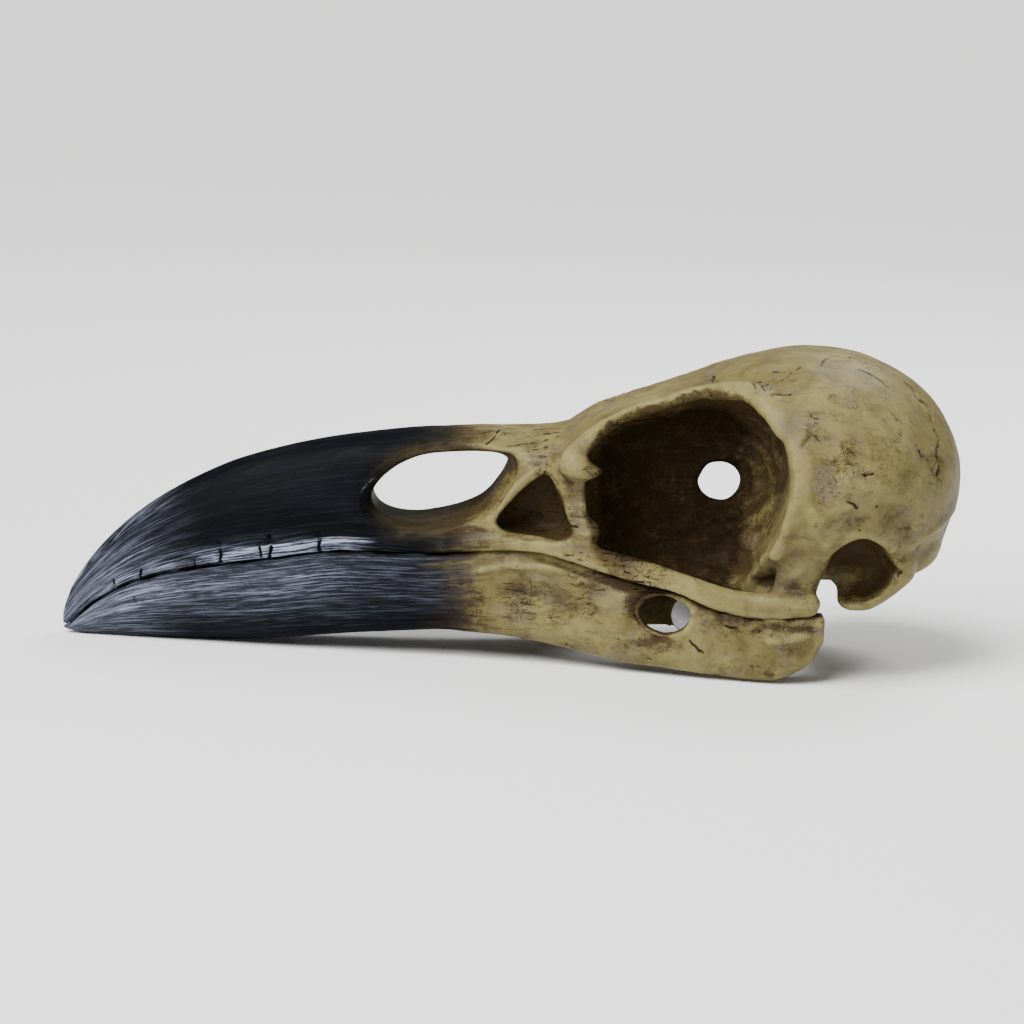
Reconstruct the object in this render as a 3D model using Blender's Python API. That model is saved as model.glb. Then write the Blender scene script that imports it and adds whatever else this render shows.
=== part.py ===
# A painted resin cast of a raven-type crow skull, bill closed, resting on its lower jaw.
#
# The bill points along -X, the animal's left side faces -Y and +Z is up. The origin lies on the
# surface the skull rests on, under the middle of its box. Lengths are in millimetres.
#
# The cast is shaped whole, skull and jaw apart, and then parted by thin cuts into the pieces a
# person would name. Each large form is a sheet rolled into a tube along X whose sections follow
# a few named profile lines; the openings are outlines carried in from the side.

import math

import bmesh
import bpy
import numpy as np
from mathutils import Matrix

MM = 0.001                    # one millimetre in metres
PART_GAP = 0.3                # width of every cut between two pieces

SKULL_VOXEL = 1.15            # the grain at which forms are melted together
JAW_VOXEL = 1.0
SKULL_FACES = 4700            # triangles left in each cast
JAW_FACES = 1700

# ---- lines of the upper skull, each a value at a place along X ----

CULMEN = ((-105.4, 3.7), (-105.0, 6.4), (-102.0, 13.2), (-96.4, 21.1), (-85.2, 31.5), (-74.1, 38.4),
          (-62.8, 43.6), (-40.3, 49.4), (-15.0, 52.6), (9.0, 53.5), (15.3, 55.2), (20.9, 58.3),
          (32.0, 63.0), (43.0, 66.9), (54.2, 71.4), (68.0, 74.1), (84.0, 69.0))
GAPE = ((-105.4, 0.6), (-103.9, 1.2), (-102.1, 3.3), (-97.1, 7.9), (-87.9, 13.6), (-74.9, 17.6),
        (-56.6, 21.0), (-35.9, 24.1), (-20.0, 24.1), (5.5, 26.6), (14.3, 25.2), (25.6, 22.2),
        (38.0, 20.2), (53.7, 15.2), (74.0, 15.6))
SKULL_BASE = ((24.0, 21.5), (34.0, 18.0), (52.0, 18.0), (64.0, 21.0), (84.0, 26.0))
SKULL_WIDTH = ((-105.4, 0.5), (-104.8, 1.0), (-102.0, 2.8), (-97.0, 4.6), (-90.0, 6.4), (-80.0, 8.3),
               (-67.0, 10.2), (-50.0, 12.2), (-36.0, 13.7), (-20.0, 15.2), (-5.0, 16.8), (8.0, 19.2),
               (20.8, 20.5), (28.4, 17.0), (36.0, 15.8), (47.0, 20.5), (55.0, 25.3), (62.0, 30.5),
               (70.0, 35.5), (84.0, 30.0))
SKULL_WAIST = ((-105.4, 0.20), (-60.0, 0.10), (-30.0, 0.12), (5.0, 0.25), (20.8, 0.45), (36.0, 0.58),
               (47.0, 0.50), (64.0, 0.46))
SKULL_CROWN = ((-105.4, 1.7), (-80.0, 1.75), (-40.0, 1.95), (0.0, 2.35), (10.0, 2.6), (20.8, 3.2),
               (30.0, 4.0), (38.0, 4.0), (47.0, 3.2), (55.0, 2.7), (64.0, 2.25))
SKULL_SOLE = ((-105.4, 3.0), (-90.0, 7.0), (20.0, 7.0), (40.0, 3.0))

# ---- the braincase, an egg with its own reach each way ----

BRAINCASE = {"centre": (70.0, 0.0, 45.1), "front": 30.0, "back": 35.2, "side": 37.8,
             "up": 29.2, "down": 25.0, "upper_power": 2.03, "lower_power": 2.18}

# ---- outlines of the openings, seen from the side ----

NOSTRIL = ((-32.4, 37.2), (-28.0, 42.8), (-20.5, 46.6), (-10.0, 47.8), (-1.0, 46.6), (-3.0, 40.0),
           (-7.8, 34.8), (-16.5, 31.7), (-24.5, 30.9), (-30.6, 32.8))
FACE_PIT = ((-3.0, 33.2), (2.0, 39.8), (8.0, 44.6), (11.4, 41.2), (12.8, 36.0), (15.0, 31.0),
            (8.0, 28.9), (0.0, 30.2))
ORBIT = ((17.0, 45.0), (18.2, 52.0), (22.0, 58.2), (28.4, 61.6), (36.0, 64.2), (45.0, 66.6),
         (52.0, 65.3), (58.1, 61.6), (62.5, 55.2), (63.8, 46.0), (62.2, 38.0), (58.5, 29.0),
         (52.0, 17.0), (35.0, 16.0), (25.0, 21.0), (19.0, 31.0))
EAR = ((70.5, 25.5), (74.6, 31.8), (79.6, 35.2), (85.2, 33.8), (89.4, 28.4), (88.4, 22.8),
       (84.0, 19.4), (79.0, 18.6), (74.0, 18.2), (70.5, 20.5))
JAW_WINDOW = ((30.6, 14.6), (33.2, 18.0), (38.0, 18.6), (42.2, 16.0), (41.6, 11.8), (37.6, 9.6),
              (32.8, 10.8))
OPTIC_HOLE = {"place": (48.9, 41.9), "half_length": 4.9, "half_height": 4.7}

# ---- rods and knobs, as a path of (x, y, z, radius) on the left side ----

BROW_RIDGE = ((14.0, 17.8, 49.2, 2.6), (17.0, 17.2, 52.0, 2.7), (22.0, 14.8, 55.4, 2.7),
              (29.0, 12.4, 58.6, 2.6), (36.0, 11.8, 61.0, 2.6), (46.0, 14.6, 64.4, 2.7),
              (54.0, 20.2, 65.6, 2.8), (60.5, 27.0, 61.6, 2.8), (65.2, 31.8, 53.5, 2.8),
              (66.2, 33.0, 44.0, 2.6), (64.2, 32.4, 36.5, 2.5), (60.6, 30.8, 31.0, 2.5))
LACRIMAL = ((17.5, 17.4, 52.0, 2.6), (14.2, 20.2, 48.7, 3.2), (14.8, 21.6, 47.6, 3.4),
            (18.6, 22.2, 46.5, 2.3))
ORBIT_RIM = ((17.5, 18.2, 52.0, 1.6), (22.0, 14.0, 56.0, 1.4), (25.0, 12.2, 57.6, 1.4),
             (30.0, 11.4, 59.4, 1.4), (36.0, 11.6, 61.7, 1.4), (42.0, 12.2, 63.7, 1.4),
             (46.0, 14.6, 64.6, 1.4), (50.0, 19.0, 65.2, 1.4), (54.0, 22.7, 65.0, 1.4),
             (58.0, 26.8, 62.2, 1.5), (61.0, 29.4, 58.6, 1.6))
STRUT = ((11.5, 16.0, 46.0, 3.2), (14.4, 16.4, 38.0, 2.4), (18.0, 18.0, 31.0, 3.2))
CHEEK_BAR = ((-16.0, 14.0, 27.0, 2.3), (0.0, 15.8, 28.2, 2.3), (16.0, 18.8, 26.6, 2.5),
             (28.0, 22.0, 24.6, 2.5), (40.0, 24.8, 21.8, 2.5), (52.0, 27.0, 18.6, 2.6),
             (64.0, 28.4, 18.2, 2.8), (68.9, 28.2, 18.6, 3.2))
QUADRATE = ((67.4, 26.0, 18.0, 3.4), (68.2, 25.6, 24.0, 3.6), (70.0, 25.8, 32.0, 5.0))
PTERYGOID = ((43.0, 5.0, 20.0, 2.6), (54.0, 13.0, 19.8, 2.3), (66.0, 23.0, 19.4, 2.6))
PALATINE = ((-8.0, 8.0, 25.5, 2.6), (12.0, 8.6, 22.0, 3.0), (30.0, 7.0, 19.2, 3.2), (43.0, 5.0, 19.0, 2.8))
EAR_WING = ((77.8, 27.0, 33.0, 6.5), (80.0, 24.0, 22.2, 5.9), (88.5, 20.0, 27.4, 6.4))
NAPE_BULGE = ((86.0, 14.0, 31.0, 8.0), (91.4, 9.0, 31.0, 8.8), (91.8, 0.0, 31.2, 9.0),
              (92.4, 0.0, 37.0, 9.9))
CONDYLE = ((83.0, 0.0, 25.0, 5.0), (87.0, 0.0, 21.6, 2.8))
NAPE_HOLE = ((101.0, 0.0, 13.0, 6.2), (88.0, 0.0, 33.0, 5.6))

# ---- lines of the lower jaw ----

JAW_TIP, JAW_HEEL = -105.2, 73.0
JAW_KEEL = ((-105.2, 0.4), (-98.9, -0.3), (-80.0, -0.4), (-67.6, -0.1), (-53.4, 1.1), (-42.0, 2.7),
            (-30.7, 4.1), (-13.7, 5.6), (-2.3, 5.2), (6.2, 4.1), (17.5, 2.3), (28.8, 0.5),
            (40.0, -0.3), (51.1, -1.0), (60.0, -1.0), (65.5, 0.5), (70.3, 4.0), (73.0, 9.0))
JAW_SOLE = ((-105.2, 2.2), (-70.0, 2.5), (-45.0, 4.5), (-20.0, 6.0))
JAW_WIDTH = ((-105.2, 0.6), (-102.2, 2.0), (-97.0, 3.4), (-90.0, 5.1), (-80.0, 6.9), (-67.0, 8.8),
             (-50.0, 10.9), (-36.0, 12.6), (-20.0, 14.4), (-5.0, 16.2), (6.0, 18.0), (18.0, 20.8),
             (30.0, 24.2), (42.0, 27.2), (54.0, 29.4), (64.0, 30.6), (73.0, 29.6))
TROUGH_WIDTH = ((-64.0, 0.6), (-56.0, 3.0), (-44.0, 5.4), (-20.0, 9.0), (0.0, 11.8), (18.0, 15.6),
                (30.0, 19.2), (42.0, 22.2), (54.0, 23.6), (80.0, 24.0))
TROUGH_HEIGHT = (-10.0, 45.0)
TROUGH_LEVEL, TROUGH_FLARE = 11.0, 12.0   # its walls lean outwards below this level, per metre

# ---- the clear round pad stuck inside the left jaw, half across its window ----

PAD = {"middle": (42.9, -20.7, 13.7), "radius": 5.0, "thickness": 3.0, "turn": 10.0, "lean": 15.0,
       "bevel": 0.8}

# ---- where the cuts run: the space each piece keeps, as lows and highs along X, Y and Z ----

FAR = 200.0
NOSTRIL_FRONT, FACE_FRONT, ORBIT_FRONT, ORBIT_BACK = -35.0, -4.6, 22.5, 57.0
NOSTRIL_SPLIT, ROOF_SPLIT, PALATE_TOP = 40.0, 56.0, 25.5
JOINT_FRONT, JOINT_BACK, JOINT_INNER, JOINT_TOP = 62.0, 73.4, 18.4, 22.0
CHEEK_INNER = ((22.5, 17.3), (62.0, 24.4))
CHEEK_TOP = ((22.5, 29.5), (50.0, 29.0), (56.0, 25.5), (62.0, 25.5))
CHIN_BACK = -52.0


def clear_scene():
    for old in list(bpy.data.objects):
        bpy.data.objects.remove(old, do_unlink=True)


# ---- curves ----

def line_through(points):
    """A smooth line through (place, value) pairs that never swings past them."""
    places, values = np.array(points, dtype=float).T
    steps = np.diff(places)
    rises = np.diff(values) / steps
    slopes = np.empty_like(places)
    slopes[0], slopes[-1] = rises[0], rises[-1]
    product = rises[:-1] * rises[1:]
    total = np.where(product > 0, rises[:-1] + rises[1:], 1.0)
    slopes[1:-1] = np.where(product > 0, 2 * product / total, 0.0)

    def value(place):
        place = min(max(place, places[0]), places[-1])
        i = min(max(int(np.searchsorted(places, place)) - 1, 0), len(steps) - 1)
        t = (place - places[i]) / steps[i]
        start = values[i] * (1 + 2 * t) + slopes[i] * steps[i] * t
        end = values[i + 1] * (3 - 2 * t) - slopes[i + 1] * steps[i] * (1 - t)
        return start * (1 - t) ** 2 + end * t ** 2

    return value


def path_through(points, samples, closed=False):
    """A curve that runs smoothly through points of any dimension."""
    points = np.array(points, dtype=float)
    count = len(points)
    if closed:
        at = lambda i: points[i % count]
    else:
        at = lambda i: points[min(max(i, 0), count - 1)]
    spans = count if closed else count - 1
    places = np.linspace(0, spans, samples, endpoint=not closed)
    route = []
    for place in places:
        i = min(int(place), spans - 1)
        t = place - i
        before, start, end, after = at(i - 1), at(i), at(i + 1), at(i + 2)
        route.append(0.5 * (2 * start + (end - before) * t
                            + (2 * before - 5 * start + 4 * end - after) * t ** 2
                            + (3 * start - before - 3 * end + after) * t ** 3))
    return np.array(route)


def power_wave(value, power):
    return math.copysign(abs(value) ** (2 / power), value)


# ---- meshes ----

def mesh_object(name, form):
    mesh = bpy.data.meshes.new(name)
    form.to_mesh(mesh)
    form.free()
    piece = bpy.data.objects.new(name, mesh)
    bpy.context.collection.objects.link(piece)
    return piece


def rolled_sheet(name, around, along, surface):
    """A sheet rolled into a closed tube: surface(turn, run) gives each point, both from 0 to 1."""
    form = bmesh.new()
    bmesh.ops.create_grid(form, x_segments=around, y_segments=along, size=1.0)
    for vert in form.verts:
        x, y, z = surface((vert.co.x + 1) / 2, (vert.co.y + 1) / 2)
        vert.co = (x * MM, y * MM, z * MM)
    bmesh.ops.remove_doubles(form, verts=form.verts, dist=1e-6)
    bmesh.ops.holes_fill(form, edges=[edge for edge in form.edges if edge.is_boundary])
    bmesh.ops.recalc_face_normals(form, faces=form.faces)
    return mesh_object(name, form)


def section_tube(name, ends, top, bottom, width, waist, crown, sole, along=110, around=72):
    """A tube along X; each section is a rounded arch between its top and bottom lines."""
    start, finish = ends

    def surface(turn, run):
        ease = 0.5 - 0.5 * math.cos(math.pi * run)
        x = start + (finish - start) * (0.35 * run + 0.65 * ease)
        high, low = top(x), bottom(x)
        level = low + (high - low) * waist(x)
        angle = 2 * math.pi * turn
        rise = math.sin(angle)
        power = crown(x) if rise > 0 else sole(x)
        reach = (high - level) if rise > 0 else (level - low)
        return x, width(x) * power_wave(math.cos(angle), power), level + reach * power_wave(rise, power)

    return rolled_sheet(name, around, along, surface)


def rod(name, path, side=-1, around=12):
    """A round rod along a path of (x, y, z, radius), on the left (side -1) or the right (1)."""
    route = path_through(path, 6 * (len(path) - 1) + 1)
    centres = route[:, :3] * (1, side, 1)
    ahead = np.gradient(centres, axis=0)
    ahead /= np.linalg.norm(ahead, axis=1)[:, None]
    upward = np.array((0.0, side * 0.35, 1.0))
    across = np.cross(ahead, upward)
    across /= np.linalg.norm(across, axis=1)[:, None]
    rise = np.cross(across, ahead)
    radii = route[:, 3]
    domes = 3
    last = len(route) - 1

    def surface(turn, run):
        step = run * (last + 2 * domes)
        i = int(round(min(max(step - domes, 0), last)))
        beyond = (min(step - domes, 0) + max(step - domes - last, 0)) / domes
        shrink = math.sqrt(max(1 - beyond ** 2, 0.01))
        angle = 2 * math.pi * turn
        centre = centres[i] + ahead[i] * beyond * radii[i]
        return centre + radii[i] * shrink * (across[i] * math.cos(angle) + rise[i] * math.sin(angle))

    return rolled_sheet(name, around, last + 2 * domes, surface)


def egg(name, shape, rings=28):
    """A ball with its own reach each way and squarer where its power is above two."""
    form = bmesh.new()
    bmesh.ops.create_uvsphere(form, u_segments=2 * rings, v_segments=rings, radius=1.0)
    for vert in form.verts:
        x, y, z = vert.co
        blend = min(max(0.5 - z / 0.8, 0), 1)
        power = shape["upper_power"] * (1 - blend) + shape["lower_power"] * blend
        swell = (abs(x) ** power + abs(y) ** power + abs(z) ** power) ** (-1 / power)
        reach = (shape["back"] if x > 0 else shape["front"], shape["side"],
                 shape["up"] if z > 0 else shape["down"])
        vert.co = [(place + part * swell * length) * MM
                   for place, part, length in zip(shape["centre"], (x, y, z), reach)]
    return mesh_object(name, form)


def side_plug(name, outline, depths, focus=None, samples=48):
    """A cutter that carries a side outline through Y; depths holds (y, scale about the focus)."""
    ring = path_through(outline, samples, closed=True)
    middle = np.array(focus) if focus else ring.mean(axis=0)

    def surface(turn, run):
        y, scale = depths[int(round(run * (len(depths) - 1)))]
        x, z = middle + (ring[int(round(turn * samples)) % samples] - middle) * scale
        return x, y, z

    return rolled_sheet(name, samples, len(depths) - 1, surface)


def bowl_depths(side, bottom_y, rim_y, outer_y, bottom_scale, steps=9):
    """Depths of a round-bottomed hollow: narrow at bottom_y, full from rim_y outwards."""
    depths = []
    for step in range(steps + 1):
        angle = 0.5 * math.pi * step / steps
        y = rim_y - (rim_y - bottom_y) * math.cos(angle)
        depths.append((side * y, bottom_scale + (1 - bottom_scale) * math.sin(angle)))
    return depths + [(side * outer_y, 1.0)]


def block(name, lows, highs):
    form = bmesh.new()
    bmesh.ops.create_cube(form, size=1.0)
    for vert in form.verts:
        vert.co = [(low + (high - low) * (part + 0.5)) * MM
                   for low, high, part in zip(lows, highs, vert.co)]
    return mesh_object(name, form)


def plan_block(name, outline, low, high):
    """A block with upright walls on a plan outline of (x, y) points."""
    form = bmesh.new()
    corners = [form.verts.new((x * MM, y * MM, low * MM)) for x, y in outline]
    floor = form.faces.new(corners)
    raised = bmesh.ops.extrude_face_region(form, geom=[floor])["geom"]
    for vert in [part for part in raised if isinstance(part, bmesh.types.BMVert)]:
        vert.co.z = high * MM
    bmesh.ops.recalc_face_normals(form, faces=form.faces)
    return mesh_object(name, form)


# ---- joining, cutting and thinning ----

def settle(piece):
    """Gives the piece the shape its modifiers make, and drops the modifiers."""
    graph = bpy.context.evaluated_depsgraph_get()
    mesh = bpy.data.meshes.new_from_object(piece.evaluated_get(graph), depsgraph=graph)
    piece.modifiers.clear()
    piece.data = mesh
    return piece


def joined(name, pieces):
    form = bmesh.new()
    for piece in pieces:
        form.from_mesh(piece.data)
        bpy.data.objects.remove(piece, do_unlink=True)
    return mesh_object(name, form)


def melted(name, pieces, voxel):
    """One closed skin round all the pieces."""
    whole = joined(name, pieces)
    remesh = whole.modifiers.new("Melt", "REMESH")
    remesh.mode = "VOXEL"
    remesh.voxel_size = voxel * MM
    return settle(whole)


def cut(piece, cutters, keep=False, thin=False):
    """Takes each cutter out of the piece, or keeps only what lies inside it.

    A thinned mesh may touch itself in places, and thin=True has those looked for first.
    """
    for cutter in cutters:
        boolean = piece.modifiers.new("Cut", "BOOLEAN")
        boolean.operation = "INTERSECT" if keep else "DIFFERENCE"
        boolean.solver = "EXACT"
        boolean.use_self = thin
        boolean.object = cutter
        settle(piece)
        bpy.data.objects.remove(cutter, do_unlink=True)
    return piece


def without_crumbs(piece):
    """Keeps the largest closed body of a piece and drops any crumb a cut has left beside it."""
    form = bmesh.new()
    form.from_mesh(piece.data)
    bodies, seen = [], set()
    for first in form.verts:
        if first in seen:
            continue
        seen.add(first)
        body, edge_of_body = [], [first]
        while edge_of_body:
            vert = edge_of_body.pop()
            body.append(vert)
            for other in [edge.other_vert(vert) for edge in vert.link_edges]:
                if other not in seen:
                    seen.add(other)
                    edge_of_body.append(other)
        bodies.append(body)
    bodies.sort(key=len)
    crumbs = [vert for body in bodies[:-1] for vert in body]
    bmesh.ops.delete(form, geom=crumbs, context="VERTS")
    form.to_mesh(piece.data)
    form.free()
    return piece


def thinned(piece, faces, passes):
    smooth = piece.modifiers.new("Smooth", "SMOOTH")
    smooth.factor = 0.5
    smooth.iterations = passes
    settle(piece)
    triangles = sum(len(face.vertices) - 2 for face in piece.data.polygons)
    decimate = piece.modifiers.new("Thin", "DECIMATE")
    decimate.ratio = faces / triangles
    decimate.use_collapse_triangulate = True
    return settle(piece)


# ---- the skull ----

def make_skull():
    culmen, gape, base = line_through(CULMEN), line_through(GAPE), line_through(SKULL_BASE)
    face_end, base_start = GAPE[10][0], SKULL_BASE[0][0]

    def underside(x):
        blend = min(max((x - face_end) / (base_start - face_end), 0), 1)
        return gape(x) * (1 - blend) + base(x) * blend

    hull = section_tube("hull", (CULMEN[0][0], CULMEN[-1][0]), culmen, underside,
                        line_through(SKULL_WIDTH), line_through(SKULL_WAIST),
                        line_through(SKULL_CROWN), line_through(SKULL_SOLE))
    forms = [hull, egg("braincase", BRAINCASE)]
    for side in (-1, 1):
        forms += [rod("brow", BROW_RIDGE, side), rod("lacrimal", LACRIMAL, side),
                  rod("ear_wing", EAR_WING, side), rod("nape", NAPE_BULGE, side)]
    skull = melted("skull", forms, SKULL_VOXEL)

    flare = ((-22, 1.3), (-13, 1.12), (-8, 1.0), (8, 1.0), (13, 1.12), (22, 1.3))
    cutters = [side_plug("nostril", NOSTRIL, flare)]
    hole = OPTIC_HOLE["place"]
    ring = [(hole[0] + OPTIC_HOLE["half_length"] * math.cos(math.radians(angle)),
             hole[1] + OPTIC_HOLE["half_height"] * math.sin(math.radians(angle)))
            for angle in range(0, 360, 30)]
    cutters.append(side_plug("optic_hole", ring, ((-9, 1.0), (9, 1.0))))
    for side in (-1, 1):
        cutters.append(side_plug("orbit", ORBIT, bowl_depths(side, 1.6, 17.5, 50, 0.26), focus=hole))
        cutters.append(side_plug("face_pit", FACE_PIT, bowl_depths(side, 9.0, 14.5, 30, 0.55)))
        cutters.append(side_plug("ear", EAR, bowl_depths(side, 21.0, 33.0, 50, 0.55)))
    cutters.append(rod("nape_hole", NAPE_HOLE, around=20))
    cut(skull, cutters)

    rods = []
    for side in (-1, 1):
        rods += [rod(name, path, side) for name, path in
                 (("orbit_rim", ORBIT_RIM), ("strut", STRUT), ("cheek", CHEEK_BAR),
                  ("quadrate", QUADRATE), ("pterygoid", PTERYGOID), ("palatine", PALATINE))]
    rods.append(rod("condyle", CONDYLE))
    skull = melted("skull", [skull] + rods, SKULL_VOXEL)
    return thinned(skull, SKULL_FACES, 3)


def make_jaw():
    keel, gape = line_through(JAW_KEEL), line_through(GAPE)
    crest = lambda x: gape(x) + 1.4
    even = lambda x: 0.5
    jaw = section_tube("jaw", (JAW_TIP, JAW_HEEL), crest, keel, line_through(JAW_WIDTH), even,
                       lambda x: 6.0, line_through(JAW_SOLE), along=90, around=48)
    inner = line_through(TROUGH_WIDTH)
    places = np.linspace(TROUGH_WIDTH[0][0], TROUGH_WIDTH[-1][0], 40)
    outline = [(x, -inner(x)) for x in places] + [(x, inner(x)) for x in places[::-1]]
    trough = plan_block("trough", outline, *TROUGH_HEIGHT)
    for vert in trough.data.vertices:
        vert.co.y *= 1 + TROUGH_FLARE * (TROUGH_LEVEL * MM - vert.co.z)
    jaw = melted("jaw", [jaw], JAW_VOXEL)
    cut(jaw, [trough])
    cut(jaw, [side_plug("window", JAW_WINDOW, ((side * 12, 1.0), (side * 40, 1.0)), samples=28)
              for side in (-1, 1)])
    jaw = melted("jaw", [jaw], JAW_VOXEL)
    return thinned(jaw, JAW_FACES, 2)


# ---- parting the casts into named pieces ----

def gape_wedge(name, low, high, lift):
    """The space on one side of the gape, over its whole length, from the line to low or high."""
    gape = line_through(GAPE)
    places = [-FAR, *np.linspace(GAPE[0][0], GAPE[-1][0], 48), FAR]
    form = bmesh.new()
    edge = [form.verts.new((x * MM, -FAR * MM, (gape(x) + lift) * MM)) for x in places]
    end = low if low is not None else high
    edge += [form.verts.new((x * MM, -FAR * MM, end * MM)) for x in (FAR, -FAR)]
    side = form.faces.new(edge)
    raised = bmesh.ops.extrude_face_region(form, geom=[side])["geom"]
    for vert in [part for part in raised if isinstance(part, bmesh.types.BMVert)]:
        vert.co.y = FAR * MM
    bmesh.ops.recalc_face_normals(form, faces=form.faces)
    return mesh_object(name, form)


def zone(lows=(None, None, None), highs=(None, None, None)):
    """A block whose open sides run far out and whose other sides stand back half a cut."""
    half = PART_GAP / 2
    return block("zone", [-FAR if low is None else low + half for low in lows],
                 [FAR if high is None else high - half for high in highs])


def cheek_zone(side, grow=0.0):
    """The space outside the palate and under the orbit that holds one cheek bar."""
    half = PART_GAP / 2 - grow
    (x_front, y_front), (x_back, y_back) = CHEEK_INNER
    x_front, x_back = x_front + half, x_back - half
    plan = [(x_front, side * (y_front + half)), (x_back, side * (y_back + half)),
            (x_back, side * FAR), (x_front, side * FAR)]
    space = plan_block("zone", plan, -FAR, FAR)
    ceiling = line_through(CHEEK_TOP)
    places = [x_front - grow - 1] + [x for x, _ in CHEEK_TOP[1:-1]] + [x_back + grow + 1]
    roof = [(x, ceiling(x) - half) for x in places]
    over = plan_block("over", [(x, z) for x, z in roof] + [(places[-1], 2 * FAR), (places[0], 2 * FAR)],
                      -2 * FAR, 2 * FAR)
    for vert in over.data.vertices:
        vert.co = (vert.co.x, -vert.co.z, vert.co.y)
    return cut(space, [over])


def joint_zone(side, grow=0.0):
    half = PART_GAP / 2 - grow
    lows = [JOINT_FRONT + half, JOINT_INNER + half, -FAR]
    highs = [JOINT_BACK - half, FAR, JOINT_TOP - half]
    if side < 0:
        lows[1], highs[1] = -highs[1], -lows[1]
    return block("zone", lows, highs)


def parted(whole, name, slot, inside, outside=()):
    """One piece of a cast: what lies in the inside zones and out of the outside ones."""
    piece = bpy.data.objects.new(name, whole.data.copy())
    piece.data.name = name
    bpy.context.collection.objects.link(piece)
    cut(piece, inside, keep=True, thin=True)
    cut(piece, outside, thin=True)
    return finished(without_crumbs(piece), slot)


def part_skull(skull):
    cut(skull, [gape_wedge("below", -FAR, None, PART_GAP / 2)], thin=True)
    parted(skull, "bill_upper", HORN, [zone(highs=(NOSTRIL_FRONT, None, None))])
    parted(skull, "nasal_bridge", BONE,
           [zone((NOSTRIL_FRONT, None, NOSTRIL_SPLIT), (FACE_FRONT, None, None))])
    parted(skull, "maxilla", BONE,
           [zone((NOSTRIL_FRONT, None, None), (FACE_FRONT, None, NOSTRIL_SPLIT))])
    parted(skull, "face", BONE, [zone((FACE_FRONT, None, None), (ORBIT_FRONT, None, None))])
    parted(skull, "forehead", BONE,
           [zone((ORBIT_FRONT, None, ROOF_SPLIT), (ORBIT_BACK, None, None))])
    parted(skull, "septum", BONE,
           [zone((ORBIT_FRONT, None, PALATE_TOP), (ORBIT_BACK, None, ROOF_SPLIT))],
           [cheek_zone(side, PART_GAP) for side in (-1, 1)])
    parted(skull, "palate", BONE, [zone((ORBIT_FRONT, None, None), (JOINT_FRONT, None, PALATE_TOP))],
           [cheek_zone(side, PART_GAP) for side in (-1, 1)])
    parted(skull, "braincase", BONE, [zone((ORBIT_BACK, None, None))],
           [zone(highs=(JOINT_FRONT + PART_GAP, None, PALATE_TOP + PART_GAP))]
           + [joint_zone(side, PART_GAP) for side in (-1, 1)])
    for side, word in ((-1, "left"), (1, "right")):
        parted(skull, "cheek_bar_" + word, BONE, [cheek_zone(side)])
        parted(skull, "quadrate_" + word, BONE, [joint_zone(side)])
    bpy.data.objects.remove(skull, do_unlink=True)


def part_jaw(jaw):
    cut(jaw, [gape_wedge("above", None, FAR, -PART_GAP / 2)], thin=True)
    parted(jaw, "bill_lower", HORN, [zone(highs=(CHIN_BACK, None, None))])
    parted(jaw, "jaw_left", BONE, [zone((CHIN_BACK, None, None), (None, 0.0, None))])
    parted(jaw, "jaw_right", BONE, [zone((CHIN_BACK, 0.0, None))])
    bpy.data.objects.remove(jaw, do_unlink=True)


def make_pad():
    """A short round pad; its outer face lies against the leaning inner wall of the left jaw."""
    form = bmesh.new()
    bmesh.ops.create_cone(form, cap_ends=True, segments=32, radius1=PAD["radius"] * MM,
                          radius2=PAD["radius"] * MM, depth=PAD["thickness"] * MM)
    rims = [edge for edge in form.edges if abs(edge.verts[0].co.z - edge.verts[1].co.z) < MM / 100]
    bmesh.ops.bevel(form, geom=rims, offset=PAD["bevel"] * MM, segments=2, profile=0.5,
                    affect="EDGES", material=-1)
    bmesh.ops.translate(form, verts=form.verts, vec=(0, 0, -PAD["thickness"] / 2 * MM))
    for angle, axis in ((90 - PAD["lean"], "X"), (-PAD["turn"], "Z")):
        bmesh.ops.rotate(form, verts=form.verts, cent=(0, 0, 0),
                         matrix=Matrix.Rotation(math.radians(angle), 3, axis))
    bmesh.ops.translate(form, verts=form.verts, vec=[value * MM for value in PAD["middle"]])
    bmesh.ops.recalc_face_normals(form, faces=form.faces)
    finished(mesh_object("clear_pad", form), CLEAR)


# ---- finishes ----

def finish(name, colour, roughness, transmission=0.0):
    material = bpy.data.materials.new(name)
    material.use_nodes = True
    shader = material.node_tree.nodes["Principled BSDF"]
    shader.inputs["Base Color"].default_value = (*colour, 1.0)
    shader.inputs["Roughness"].default_value = roughness
    shader.inputs["Metallic"].default_value = 0.0
    shader.inputs["Transmission Weight"].default_value = transmission
    return material


def finished(piece, slot):
    name, colour, roughness, transmission = slot
    piece.data.materials.clear()
    piece.data.materials.append(finish(piece.name + "_" + name, colour, roughness, transmission))
    piece.data.shade_smooth()
    piece.data.set_sharp_from_angle(angle=math.radians(40.0))
    return piece


BONE = ("bone_paint", (0.42, 0.36, 0.20), 0.45, 0.0)
HORN = ("horn_paint", (0.02, 0.021, 0.027), 0.38, 0.0)
CLEAR = ("clear_plastic", (0.80, 0.82, 0.82), 0.15, 0.9)

clear_scene()
part_skull(make_skull())
part_jaw(make_jaw())
make_pad()
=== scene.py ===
# A painted resin cast of a raven-type crow skull, bill closed, lying on its lower jaw.
# The bill points along -X and the animal's left side faces -Y.
# Lengths are in millimetres until a mesh is made.

import math
import bmesh
import bpy
import numpy as np
from mathutils import Matrix, Vector
from mathutils.bvhtree import BVHTree


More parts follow.
